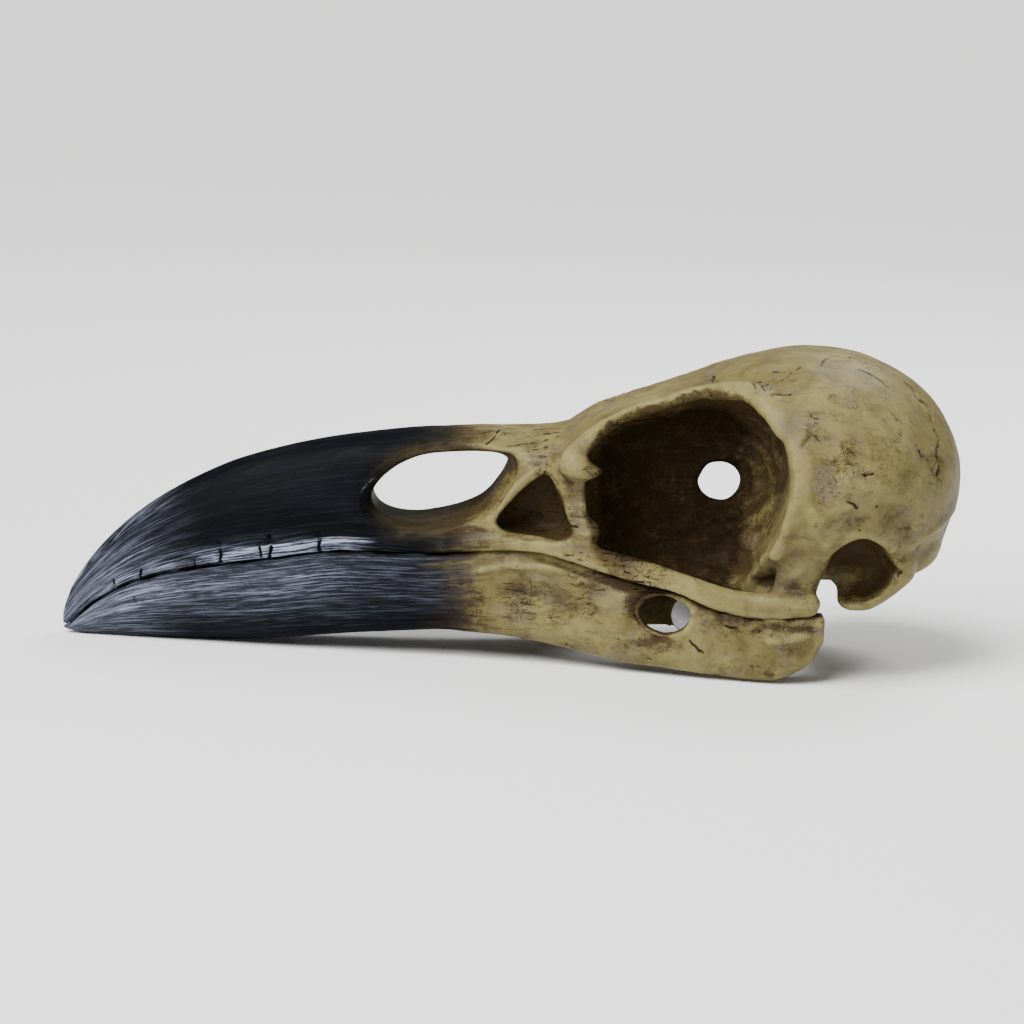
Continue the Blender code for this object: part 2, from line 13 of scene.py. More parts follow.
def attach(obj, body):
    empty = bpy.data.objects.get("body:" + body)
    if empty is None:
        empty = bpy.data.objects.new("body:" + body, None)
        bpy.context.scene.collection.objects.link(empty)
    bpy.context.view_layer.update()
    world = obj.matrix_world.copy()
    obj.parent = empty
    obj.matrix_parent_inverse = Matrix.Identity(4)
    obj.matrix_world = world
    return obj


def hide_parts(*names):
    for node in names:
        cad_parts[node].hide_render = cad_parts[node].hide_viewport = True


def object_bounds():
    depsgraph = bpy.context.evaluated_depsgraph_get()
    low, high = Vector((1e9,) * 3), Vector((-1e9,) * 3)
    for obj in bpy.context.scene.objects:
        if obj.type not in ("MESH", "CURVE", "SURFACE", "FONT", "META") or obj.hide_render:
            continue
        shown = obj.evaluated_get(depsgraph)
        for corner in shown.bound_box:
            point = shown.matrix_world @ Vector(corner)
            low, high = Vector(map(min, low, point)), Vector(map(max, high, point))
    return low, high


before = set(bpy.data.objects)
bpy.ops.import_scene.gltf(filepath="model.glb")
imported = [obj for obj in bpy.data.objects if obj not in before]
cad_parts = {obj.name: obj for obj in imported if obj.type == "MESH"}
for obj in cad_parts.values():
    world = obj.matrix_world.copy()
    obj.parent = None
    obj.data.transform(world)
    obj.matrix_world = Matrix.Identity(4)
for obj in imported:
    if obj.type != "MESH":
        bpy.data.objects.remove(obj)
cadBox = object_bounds()
mm = 0.001
far = 200


def lineThrough(points):  # a smooth line through (place, value) pairs that never swings past them
    places, values = np.array(points, dtype=float).T
    steps = np.diff(places)
    rises = np.diff(values) / steps
    slopes = np.empty_like(places)
    slopes[0], slopes[-1] = rises[0], rises[-1]
    product = rises[:-1] * rises[1:]
    total = np.where(product > 0, rises[:-1] + rises[1:], 1)
    slopes[1:-1] = np.where(product > 0, 2 * product / total, 0)

    def value(place):
        place = np.clip(place, places[0], places[-1])
        i = np.clip(np.searchsorted(places, place) - 1, 0, len(steps) - 1)
        t = (place - places[i]) / steps[i]
        start = values[i] * (1 + 2 * t) + slopes[i] * steps[i] * t
        end = values[i + 1] * (3 - 2 * t) - slopes[i + 1] * steps[i] * (1 - t)
        return start * (1 - t) ** 2 + end * t ** 2

    return value


def pathThrough(points, samples, closed=False):  # a curve that runs smoothly through the points
    points = np.array(points, dtype=float)
    count = len(points)
    spans = count if closed else count - 1
    route = []
    for place in np.linspace(0, spans, samples, endpoint=not closed):
        i = min(int(place), spans - 1)
        t = place - i
        around = [i - 1, i, i + 1, i + 2]
        around = [k % count if closed else min(max(k, 0), count - 1) for k in around]
        before, start, end, after = points[around]
        route.append(0.5 * (2 * start + (end - before) * t
                            + (2 * before - 5 * start + 4 * end - after) * t ** 2
                            + (3 * start - before - 3 * end + after) * t ** 3))
    return np.array(route)


def powerWave(value, power):
    return math.copysign(abs(value) ** (2 / power), value)


def eased(value, low, high):  # 0 below low, 1 above high, smooth between
    t = np.clip((value - low) / (high - low), 0, 1)
    return t * t * (3 - 2 * t)


def meshObject(name, form):
    mesh = bpy.data.meshes.new(name)
    form.to_mesh(mesh)
    form.free()
    piece = bpy.data.objects.new(name, mesh)
    bpy.context.scene.collection.objects.link(piece)
    return piece


def rolledSheet(name, around, along, surface):  # a sheet rolled into a closed tube by surface(turn, run)
    form = bmesh.new()
    bmesh.ops.create_grid(form, x_segments=around, y_segments=along, size=1)
    for vert in form.verts:
        vert.co = Vector(surface((vert.co.x + 1) / 2, (vert.co.y + 1) / 2)) * mm
    bmesh.ops.remove_doubles(form, verts=form.verts, dist=1e-6)
    bmesh.ops.holes_fill(form, edges=[edge for edge in form.edges if edge.is_boundary])
    bmesh.ops.recalc_face_normals(form, faces=form.faces)
    return meshObject(name, form)


def sectionTube(name, ends, lines, along=110, around=72):  # its sections follow the named lines
    start, finish = ends

    def surface(turn, run):
        slow = 0.5 - 0.5 * math.cos(math.pi * run)
        x = start + (finish - start) * (0.35 * run + 0.65 * slow)
        high, low = lines["top"](x), lines["bottom"](x)
        level = low + (high - low) * lines["waist"](x)
        angle = 2 * math.pi * turn
        rise = math.sin(angle)
        power = lines["crown"](x) if rise > 0 else lines["sole"](x)
        reach = high - level if rise > 0 else level - low
        wide = lines["width"](x) * powerWave(math.cos(angle), power)
        return x, wide, level + reach * powerWave(rise, power)

    return rolledSheet(name, around, along, surface)


def rod(name, path, side=-1, around=14):  # a round rod along (x, y, z, radius)
    route = pathThrough(path, 6 * (len(path) - 1) + 1)
    centres = route[:, :3] * (1, side, 1)
    ahead = np.gradient(centres, axis=0)
    ahead /= np.linalg.norm(ahead, axis=1)[:, None]
    across = np.cross(ahead, (0, side * 0.35, 1))
    across /= np.linalg.norm(across, axis=1)[:, None]
    rise = np.cross(across, ahead)
    domes, last = 3, len(route) - 1

    def surface(turn, run):
        step = run * (last + 2 * domes)
        i = int(round(min(max(step - domes, 0), last)))
        beyond = (min(step - domes, 0) + max(step - domes - last, 0)) / domes
        shrink = math.sqrt(max(1 - beyond ** 2, 0.01))
        angle = 2 * math.pi * turn
        radius = route[i, 3]
        centre = centres[i] + ahead[i] * beyond * radius
        return centre + radius * shrink * (across[i] * math.cos(angle) + rise[i] * math.sin(angle))

    return rolledSheet(name, around, last + 2 * domes, surface)


def egg(name, shape, rings=40):  # a ball with its own reach each way
    form = bmesh.new()
    bmesh.ops.create_uvsphere(form, u_segments=2 * rings, v_segments=rings, radius=1)
    for vert in form.verts:
        x, y, z = vert.co
        blend = min(max(0.5 - z / 0.8, 0), 1)
        power = shape["upperPower"] * (1 - blend) + shape["lowerPower"] * blend
        swell = (abs(x) ** power + abs(y) ** power + abs(z) ** power) ** (-1 / power)
        reach = (shape["back"] if x > 0 else shape["front"], shape["side"],
                 shape["up"] if z > 0 else shape["down"])
        vert.co = [(place + part * swell * length) * mm
                   for place, part, length in zip(shape["centre"], (x, y, z), reach)]
    return meshObject(name, form)


def sidePlug(name, outline, depths, focus=None, samples=60):  # a cutter that carries an outline through Y
    ring = pathThrough(outline, samples, closed=True)
    middle = np.array(focus) if focus else ring.mean(axis=0)

    def surface(turn, run):
        y, scale = depths[int(round(run * (len(depths) - 1)))]
        x, z = middle + (ring[int(round(turn * samples)) % samples] - middle) * scale
        return x, y, z

    return rolledSheet(name, samples, len(depths) - 1, surface)


def bowlDepths(side, bottomY, rimY, outerY, bottomScale, steps=12):  # a round-bottomed hollow
    depths = []
    for step in range(steps + 1):
        angle = 0.5 * math.pi * step / steps
        y = rimY - (rimY - bottomY) * math.cos(angle)
        depths.append((side * y, bottomScale + (1 - bottomScale) * math.sin(angle)))
    return depths + [(side * outerY, 1)]


def planBlock(name, outline, low, high):  # upright walls on a plan of (x, y)
    form = bmesh.new()
    floor = form.faces.new([form.verts.new((x * mm, y * mm, low * mm)) for x, y in outline])
    raised = bmesh.ops.extrude_face_region(form, geom=[floor])["geom"]
    lift = [part for part in raised if isinstance(part, bmesh.types.BMVert)]
    bmesh.ops.translate(form, verts=lift, vec=(0, 0, (high - low) * mm))
    bmesh.ops.recalc_face_normals(form, faces=form.faces)
    return meshObject(name, form)


def shapedBy(piece, kind, **settings):  # keeps the shape that one modifier makes
    modifier = piece.modifiers.new(kind, kind)
    for name, value in settings.items():
        setattr(modifier, name, value)
    graph = bpy.context.evaluated_depsgraph_get()
    mesh = bpy.data.meshes.new_from_object(piece.evaluated_get(graph), depsgraph=graph)
    piece.modifiers.clear()
    piece.data = mesh
    return piece


def melted(name, pieces, grain):  # one closed skin round all the pieces
    form = bmesh.new()
    for piece in pieces:
        form.from_mesh(piece.data)
        bpy.data.objects.remove(piece, do_unlink=True)
    return shapedBy(meshObject(name, form), "REMESH", mode="VOXEL", voxel_size=grain * mm)


def cutBy(piece, cutters):
    for cutter in cutters:
        shapedBy(piece, "BOOLEAN", operation="DIFFERENCE", solver="EXACT", object=cutter)
        bpy.data.objects.remove(cutter, do_unlink=True)
    return piece


def thinnedTo(piece, triangles):
    now = sum(len(face.vertices) - 2 for face in piece.data.polygons)
    return shapedBy(piece, "DECIMATE", ratio=min(triangles / now, 1), use_collapse_triangulate=True)


# the shapes of the two casts: (x, value) along X from the tip of the bill
skull = {
    "grain": 1.15,            # how coarsely forms are melted together
    "fineGrain": 0.46,        # how finely the skin is worked afterwards
    "smoothing": 6,
    "triangles": 190000,
    "culmen": ((-105.4, 3.7), (-105, 6.4), (-102, 13.2), (-96.4, 21.1), (-85.2, 31.5), (-74.1, 38.4),
        (-62.8, 43.6), (-40.3, 49.4), (-15, 52.6), (9, 53.5), (15.3, 55.2), (20.9, 58.3), (32, 63),
        (43, 66.9), (54.2, 71.4), (68, 74.1), (84, 69)),
    "gape": ((-105.4, 0.6), (-103.9, 1.2), (-102.1, 3.3), (-97.1, 7.9), (-87.9, 13.6), (-74.9, 17.6),
        (-56.6, 21), (-35.9, 24.1), (-20, 24.1), (5.5, 26.6), (14.3, 25.2), (25.6, 22.2), (38, 20.2),
        (53.7, 15.2), (74, 15.6)),
    "base": ((24, 21.5), (34, 18), (52, 18), (64, 21), (84, 26)),
    "width": ((-105.4, 0.5), (-104.8, 1), (-102, 2.8), (-97, 4.6), (-90, 6.4), (-80, 8.3), (-67, 10.2),
        (-50, 12.2), (-36, 13.7), (-20, 15.2), (-5, 16.8), (8, 19.2), (20.8, 20.5), (28.4, 17), (36, 15.8),
        (47, 20.5), (55, 25.3), (62, 30.5), (70, 35.5), (84, 30)),
    "waist": ((-105.4, 0.2), (-60, 0.1), (-30, 0.12), (5, 0.25), (20.8, 0.45), (36, 0.58), (47, 0.5),
        (64, 0.46)),
    "crown": ((-105.4, 1.7), (-80, 1.75), (-40, 1.95), (0, 2.35), (10, 2.6), (20.8, 3.2), (30, 4), (38, 4),
        (47, 3.2), (55, 2.7), (64, 2.25)),
    "sole": ((-105.4, 3), (-90, 7), (20, 7), (40, 3)),
    "braincase": {"centre": (70, 0, 45.1), "front": 30, "back": 35.2, "side": 37.8, "up": 29.2, "down": 25,
                  "upperPower": 2.03, "lowerPower": 2.18},
}

openings = {                  # outlines seen from the side, (x, z)
    "nostril": ((-32.4, 37.2), (-28, 42.8), (-20.5, 46.6), (-10, 47.8), (-1, 46.6), (-3, 40), (-7.8, 34.8),
        (-16.5, 31.7), (-24.5, 30.9), (-30.6, 32.8)),
    "nostrilFlare": ((-22, 1.3), (-13, 1.12), (-8, 1), (8, 1), (13, 1.12), (22, 1.3)),
    "facePit": ((-3, 33.2), (2, 39.8), (8, 44.6), (11.4, 41.2), (12.8, 36), (15, 31), (8, 28.9), (0, 30.2)),
    "orbit": ((17, 45), (18.2, 52), (22, 58.2), (28.4, 61.6), (36, 64.2), (45, 66.6), (52, 65.3),
        (58.1, 61.6), (62.5, 55.2), (63.8, 46), (62.2, 38), (58.5, 29), (52, 17), (35, 16), (25, 21),
        (19, 31)),
    "ear": ((70.5, 25.5), (74.6, 31.8), (79.6, 35.2), (85.2, 33.8), (89.4, 28.4), (88.4, 22.8), (84, 19.4),
        (79, 18.6), (74, 18.2), (70.5, 20.5)),
    "jawWindow": ((30.6, 14.6), (33.2, 18), (38, 18.6), (42.2, 16), (41.6, 11.8), (37.6, 9.6), (32.8, 10.8)),
    "opticHole": (48.9, 41.9),
    "opticReach": (4.9, 4.7),
    "bowls": {                # the level of the floor, the rim and the outside, and the size of the floor
        "orbit": (1.6, 17.5, 50, 0.26),
        "facePit": (9, 14.5, 30, 0.55),
        "ear": (21, 33, 50, 0.55),
    },
}

bars = {                      # rods and knobs of the left side, (x, y, z, radius)
    "brow": ((14, 17.8, 49.2, 2.6), (17, 17.2, 52, 2.7), (22, 14.8, 55.4, 2.7), (29, 12.4, 58.6, 2.6),
        (36, 11.8, 61, 2.6), (46, 14.6, 64.4, 2.7), (54, 20.2, 65.6, 2.8), (60.5, 27, 61.6, 2.8),
        (65.2, 31.8, 53.5, 2.8), (66.2, 33, 44, 2.6), (64.2, 32.4, 36.5, 2.5), (60.6, 30.8, 31, 2.5)),
    "lacrimal": ((17.5, 17.4, 52, 2.6), (14.2, 20.2, 48.7, 3.2), (14.8, 21.6, 47.6, 3.4),
        (18.6, 22.2, 46.5, 2.3)),
    "earWing": ((77.8, 27, 33, 6.5), (80, 24, 22.2, 5.9), (88.5, 20, 27.4, 6.4)),
    "nape": ((86, 14, 31, 8), (92, 9, 31, 8.8), (93, 0, 31.2, 9.2), (94, 0, 37, 10.2)),
    "orbitRim": ((17.5, 18.2, 52, 1.6), (22, 14, 56, 1.4), (25, 12.2, 57.6, 1.4), (30, 11.4, 59.4, 1.4),
        (36, 11.6, 61.7, 1.4), (42, 12.2, 63.7, 1.4), (46, 14.6, 64.6, 1.4), (50, 19, 65.2, 1.4),
        (54, 22.7, 65, 1.4), (58, 26.8, 62.2, 1.5), (61, 29.4, 58.6, 1.6)),
    "strut": ((11.5, 16, 46, 3.2), (14.4, 16.4, 38, 2.4), (18, 18, 31, 3.2)),
    "cheek": ((-16, 14, 27, 2.3), (0, 15.8, 28.2, 2.3), (16, 18.8, 26.6, 2.5), (28, 22, 24.6, 2.5),
        (40, 24.8, 21.8, 2.5), (52, 27, 18.6, 2.6), (64, 28.4, 18.2, 2.8), (68.9, 28.2, 18.6, 3.2)),
    "quadrate": ((67.4, 26, 18, 3.4), (68.2, 25.6, 24, 3.6), (70, 25.8, 32, 5)),
    "hook": ((13.6, 19.8, 49.2, 2.4), (14.6, 21.6, 47.8, 2.8), (17.8, 22, 46.6, 2.2), (20.6, 21.2, 46.6, 1)),
    "sill": ((6, 17.6, 26.6, 1.3), (16, 20.2, 24.8, 1.4), (28, 23.4, 22.6, 1.5), (42, 26.7, 19.3, 1.6),
        (54, 28.4, 16.7, 1.6), (64, 29, 15.4, 1.6)),
    "web": ((63, 24.8, 19.6, 2.4), (64.8, 25.6, 24.6, 3.2), (66.4, 27.2, 31, 4.4)),
    "pterygoid": ((43, 5, 20, 2.6), (54, 13, 19.8, 2.3), (66, 23, 19.4, 2.6)),
    "palatine": ((-8, 8, 25.5, 2.6), (12, 8.6, 22, 3), (30, 7, 19.2, 3.2), (43, 5, 19, 2.8)),
    "condyle": ((83, 0, 25, 5), (87, 0, 21.6, 2.8)),
    "napeHole": ((101, 0, 13, 6.2), (88, 0, 33, 5.6)),
}

jaw = {
    "grain": 1,
    "fineGrain": 0.42,
    "smoothing": 4,
    "triangles": 150000,
    "ends": (-105.2, 73),
    "seam": -0.2,             # less than 0, so the jaw and the skull run into each other at the gape
    "keel": ((-105.2, 0.4), (-98.9, -0.3), (-80, -0.4), (-67.6, -0.1), (-53.4, 1.1), (-42, 2.7), (-30.7, 4.1),
        (-13.7, 5.6), (-2.3, 5.2), (6.2, 4.1), (17.5, 2.3), (28.8, 0.5), (40, -0.3), (51.1, -1), (60, -1),
        (65.5, 0.5), (70.3, 4), (73, 9)),
    "sole": ((-105.2, 2.2), (-70, 2.5), (-45, 4.5), (-20, 6)),
    "width": ((-105.2, 0.6), (-102.2, 2), (-97, 3.4), (-90, 5.1), (-80, 6.9), (-67, 8.8), (-50, 10.9),
        (-36, 12.6), (-20, 14.4), (-5, 16.2), (6, 18), (18, 20.8), (30, 24.2), (42, 27.2), (54, 29.4),
        (64, 30.6), (73, 29.6)),
    "troughWidth": ((-64, 0.6), (-56, 3), (-44, 5.4), (-20, 9), (0, 11.8), (18, 15.6), (30, 19.2), (42, 22.2),
        (54, 23.6), (80, 24)),
    "troughHeight": (-10, 45),
    "troughLevel": 11,        # its walls lean outwards below this level
    "troughFlare": 12,        # by this share of their width for each metre
}

gapeLine = lineThrough(skull["gape"])
culmenLine = lineThrough(skull["culmen"])
keelLine = lineThrough(jaw["keel"])


def gapeWedge(name, end, lift):  # all that lies between the gape and the level end
    places = [-far, *np.linspace(skull["gape"][0][0], skull["gape"][-1][0], 60), far]
    edge = [(x, gapeLine(x) + lift) for x in places] + [(far, end), (-far, end)]
    block = planBlock(name, edge, -far, far)
    block.data.transform(Matrix.Rotation(math.radians(90), 4, "X"))
    return block


def opticRing():
    (x, z), (length, height) = openings["opticHole"], openings["opticReach"]
    turns = [2 * math.pi * step / 12 for step in range(12)]
    return [(x + length * math.cos(turn), z + height * math.sin(turn)) for turn in turns]


def skullBody():
    faceEnd, baseStart = skull["gape"][10][0], skull["base"][0][0]
    base = lineThrough(skull["base"])

    def underside(x):
        blend = min(max((x - faceEnd) / (baseStart - faceEnd), 0), 1)
        return gapeLine(x) * (1 - blend) + base(x) * blend

    lines = {"top": culmenLine, "bottom": underside}
    lines.update({name: lineThrough(skull[name]) for name in ("width", "waist", "crown", "sole")})
    forms = [sectionTube("hull", (skull["culmen"][0][0], skull["culmen"][-1][0]), lines),
             egg("braincase", skull["braincase"])]
    for side in (-1, 1):
        forms += [rod(name, bars[name], side) for name in ("brow", "lacrimal", "earWing", "nape")]
    body = melted("skullCast", forms, skull["grain"])

    cutters = [sidePlug("nostril", openings["nostril"], openings["nostrilFlare"]),
               sidePlug("opticHole", opticRing(), ((-9, 1), (9, 1))),
               rod("napeHole", bars["napeHole"], around=20)]
    for side in (-1, 1):
        for name, bowl in openings["bowls"].items():
            focus = openings["opticHole"] if name == "orbit" else None
            cutters.append(sidePlug(name, openings[name], bowlDepths(side, *bowl), focus))
    cutBy(body, cutters)

    forms = [body, rod("condyle", bars["condyle"])]
    for side in (-1, 1):
        forms += [rod(name, bars[name], side) for name in (
            "orbitRim", "hook", "strut", "cheek", "sill", "quadrate", "web", "pterygoid", "palatine")]
    body = melted("skullCast", forms, skull["grain"] * 0.8)
    cutBy(body, [gapeWedge("below", -far, jaw["seam"] / 2)])
    body = melted("skullCast", [body], skull["fineGrain"])
    return shapedBy(body, "SMOOTH", iterations=skull["smoothing"])


def jawBody():
    lines = {"top": lambda x: gapeLine(x) + 1.4, "bottom": keelLine, "waist": lambda x: 0.5,
             "crown": lambda x: 6}
    lines.update({name: lineThrough(jaw[name]) for name in ("width", "sole")})
    body = melted("jawCast", [sectionTube("jaw", jaw["ends"], lines, 90, 48)], jaw["grain"])
    inner = lineThrough(jaw["troughWidth"])
    places = np.linspace(jaw["troughWidth"][0][0], jaw["troughWidth"][-1][0], 40)
    plan = [(x, -inner(x)) for x in places] + [(x, inner(x)) for x in places[::-1]]
    trough = planBlock("trough", plan, *jaw["troughHeight"])
    for vert in trough.data.vertices:
        vert.co.y *= 1 + jaw["troughFlare"] * (jaw["troughLevel"] * mm - vert.co.z)
    windows = [sidePlug("window", openings["jawWindow"], ((side * 12, 1), (side * 40, 1)))
               for side in (-1, 1)]
    cutBy(body, [trough] + windows + [gapeWedge("above", far, -jaw["seam"] / 2)])
    body = melted("jawCast", [body], jaw["fineGrain"])
    return shapedBy(body, "SMOOTH", iterations=jaw["smoothing"])


def lumps(spots, size, seed):  # smooth noise from -1 to 1 over places in space
    cell = np.floor(spots / size).astype(np.int64)
    t = spots / size - cell
    t = t * t * (3 - 2 * t)
    total = np.zeros(len(spots))
    for corner in range(8):
        step = np.array([corner & 1, corner >> 1 & 1, corner >> 2 & 1])
        key = (cell + step) @ np.array([73856093, 19349663, 83492791]) + seed * 7919
        key = (key ^ (key >> 13)) * 1274126177 % 2147483647
        share = np.prod(np.where(step == 1, t, 1 - t), axis=1)
        total += share * (key % 65536) / 32767.5
    return total - 1


def besideOutline(x, z, outline, samples=90):  # how far outside an outline, less than 0 inside
    ring = pathThrough(outline, samples, closed=True)
    gap = np.full(len(x), 1e9)
    inside = np.zeros(len(x), dtype=bool)
    for (ax, az), (bx, bz) in zip(ring, np.roll(ring, -1, axis=0)):
        t = np.clip(((x - ax) * (bx - ax) + (z - az) * (bz - az)) / ((bx - ax) ** 2 + (bz - az) ** 2), 0, 1)
        gap = np.minimum(gap, np.hypot(x - ax - t * (bx - ax), z - az - t * (bz - az)))
        if az != bz:
            inside ^= ((az > z) != (bz > z)) & (x < (bx - ax) * (z - az) / (bz - az) + ax)
    return np.where(inside, -gap, gap)


def arrayOf(items, key, width, kind=float):  # one row of numbers for each item
    values = np.empty(len(items) * width, dtype=kind)
    items.foreach_get(key, values)
    return values.reshape(-1, width)


class Skin:  # the points of a piece as arrays, in millimetres
    def __init__(self, piece):
        self.piece = piece
        self.spots = arrayOf(piece.data.vertices, "co", 3) / mm
        self.edges = arrayOf(piece.data.edges, "vertices", 2, np.int32)
        self.readNormals()

    def readNormals(self):
        self.normals = arrayOf(self.piece.data.vertex_normals, "vector", 3)

    def facingOut(self):  # 1 where the skin faces sideways and outwards, 0 where it doesn't
        return np.clip(np.sign(self.spots[:, 1]) * self.normals[:, 1] * 2, 0, 1)

    def averaged(self, values, rounds):  # each round takes the mean of a point and its neighbours
        values = np.array(values, dtype=float).reshape(len(self.spots), -1)
        a, b = self.edges.T
        count = np.bincount(np.concatenate((a, b)), minlength=len(values)) + 1
        for _ in range(rounds):
            total = values.copy()
            for part in range(values.shape[1]):
                total[:, part] += np.bincount(a, values[b, part], len(values))
                total[:, part] += np.bincount(b, values[a, part], len(values))
            values = total / count[:, None]
        return values

    def push(self, amount):  # outwards along the normals
        self.spots += self.normals * np.asarray(amount)[:, None]

    def write(self):
        self.piece.data.vertices.foreach_set("co", (self.spots * mm).ravel())
        self.piece.data.update()
        self.readNormals()

    def carry(self, name, values):  # stores one number for each point under a name
        attribute = self.piece.data.attributes.new(name, "FLOAT", "POINT")
        attribute.data.foreach_set("value", np.ascontiguousarray(values, dtype=np.float32))


def surfaceTree(piece):
    return BVHTree.FromObject(piece, bpy.context.evaluated_depsgraph_get())


def onSurface(tree, points, side, wander):  # a line through the points, laid on the nearest skin
    route = pathThrough(points, 8 * (len(points) - 1) + 1)
    shake = np.stack([lumps(route, 1.2, seed) for seed in (51, 52, 53)], axis=1)
    route = (route + wander * shake) * (1, side, 1)
    return np.array([tree.find_nearest(Vector(spot) * mm)[0] / mm for spot in route])


def nearLine(spots, line, width):  # the points near a line: which, how far off, and how far along it
    low, high = line.min(axis=0) - width, line.max(axis=0) + width
    near = np.flatnonzero(((spots > low) & (spots < high)).all(axis=1))
    gap, along = np.full(len(near), 1e9), np.zeros(len(near))
    lengths = np.concatenate(([0], np.cumsum(np.linalg.norm(np.diff(line, axis=0), axis=1))))
    for start, end, run in zip(line[:-1], line[1:], lengths):
        step = end - start
        size = max(step @ step, 1e-9)
        t = np.clip((spots[near] - start) @ step / size, 0, 1)
        here = np.linalg.norm(spots[near] - start - t[:, None] * step, axis=1)
        closer = here < gap
        gap[closer] = here[closer]
        along[closer] = run + t[closer] * math.sqrt(size)
    keep = gap < width
    return near[keep], gap[keep], along[keep] / max(lengths[-1], 1e-9)


def markDepth(kind, width, gap, along, spots):  # 1 on the line, 0 beside it
    if kind == "crack":
        wander = 1 + 0.5 * lumps(spots, 0.9, 3)
        taper = np.clip(np.sin(math.pi * (0.04 + 0.92 * along)) * 3, 0.25, 1)
        return np.clip(1 - gap / width, 0, 1) * wander * taper
    taper = eased(along, 0, 0.12) * eased(1 - along, 0, 0.12)
    return np.exp(-(gap * 2 / width) ** 2) * (0.25 + 0.75 * taper) * (1 + 0.25 * lumps(spots, 2, 5))


def carve(skin, tree, marks):  # cuts cracks and grooves, raises ridges; returns the lines for the paint
    drawn = []
    for kind, width, height, *lines in marks:
        for points, side in [(points, side) for points in lines for side in (1, -1)]:
            route = np.array(points)
            if side < 0 and kind == "crack":  # the far side has cracks of its own
                route = route + np.array([1.4, 0, 0.9]) * np.sin(route[:, [2, 0, 0]] * 0.35 + 1)
            line = onSurface(tree, route, side, 0.38 if kind == "crack" else 0)
            near, gap, along = nearLine(skin.spots, line, width * (1 if kind == "crack" else 2))
            depth = markDepth(kind, width, gap, along, skin.spots[near])
            skin.spots[near] += skin.normals[near] * (height * depth)[:, None]
            drawn.append((kind, width, line))
    return drawn


def swell(skin, places):  # soft bulges and hollows: (x, z, reach along x, reach along z, turn, height)
    x, _, z = skin.spots.T
    for px, pz, reachX, reachZ, turn, height in places:
        c, s = math.cos(math.radians(turn)), math.sin(math.radians(turn))
        u = ((x - px) * c + (z - pz) * s) / reachX
        v = ((z - pz) * c - (x - px) * s) / reachZ
        skin.push(height * np.clip(1 - u * u - v * v, 0, 1) ** 2 * skin.facingOut())


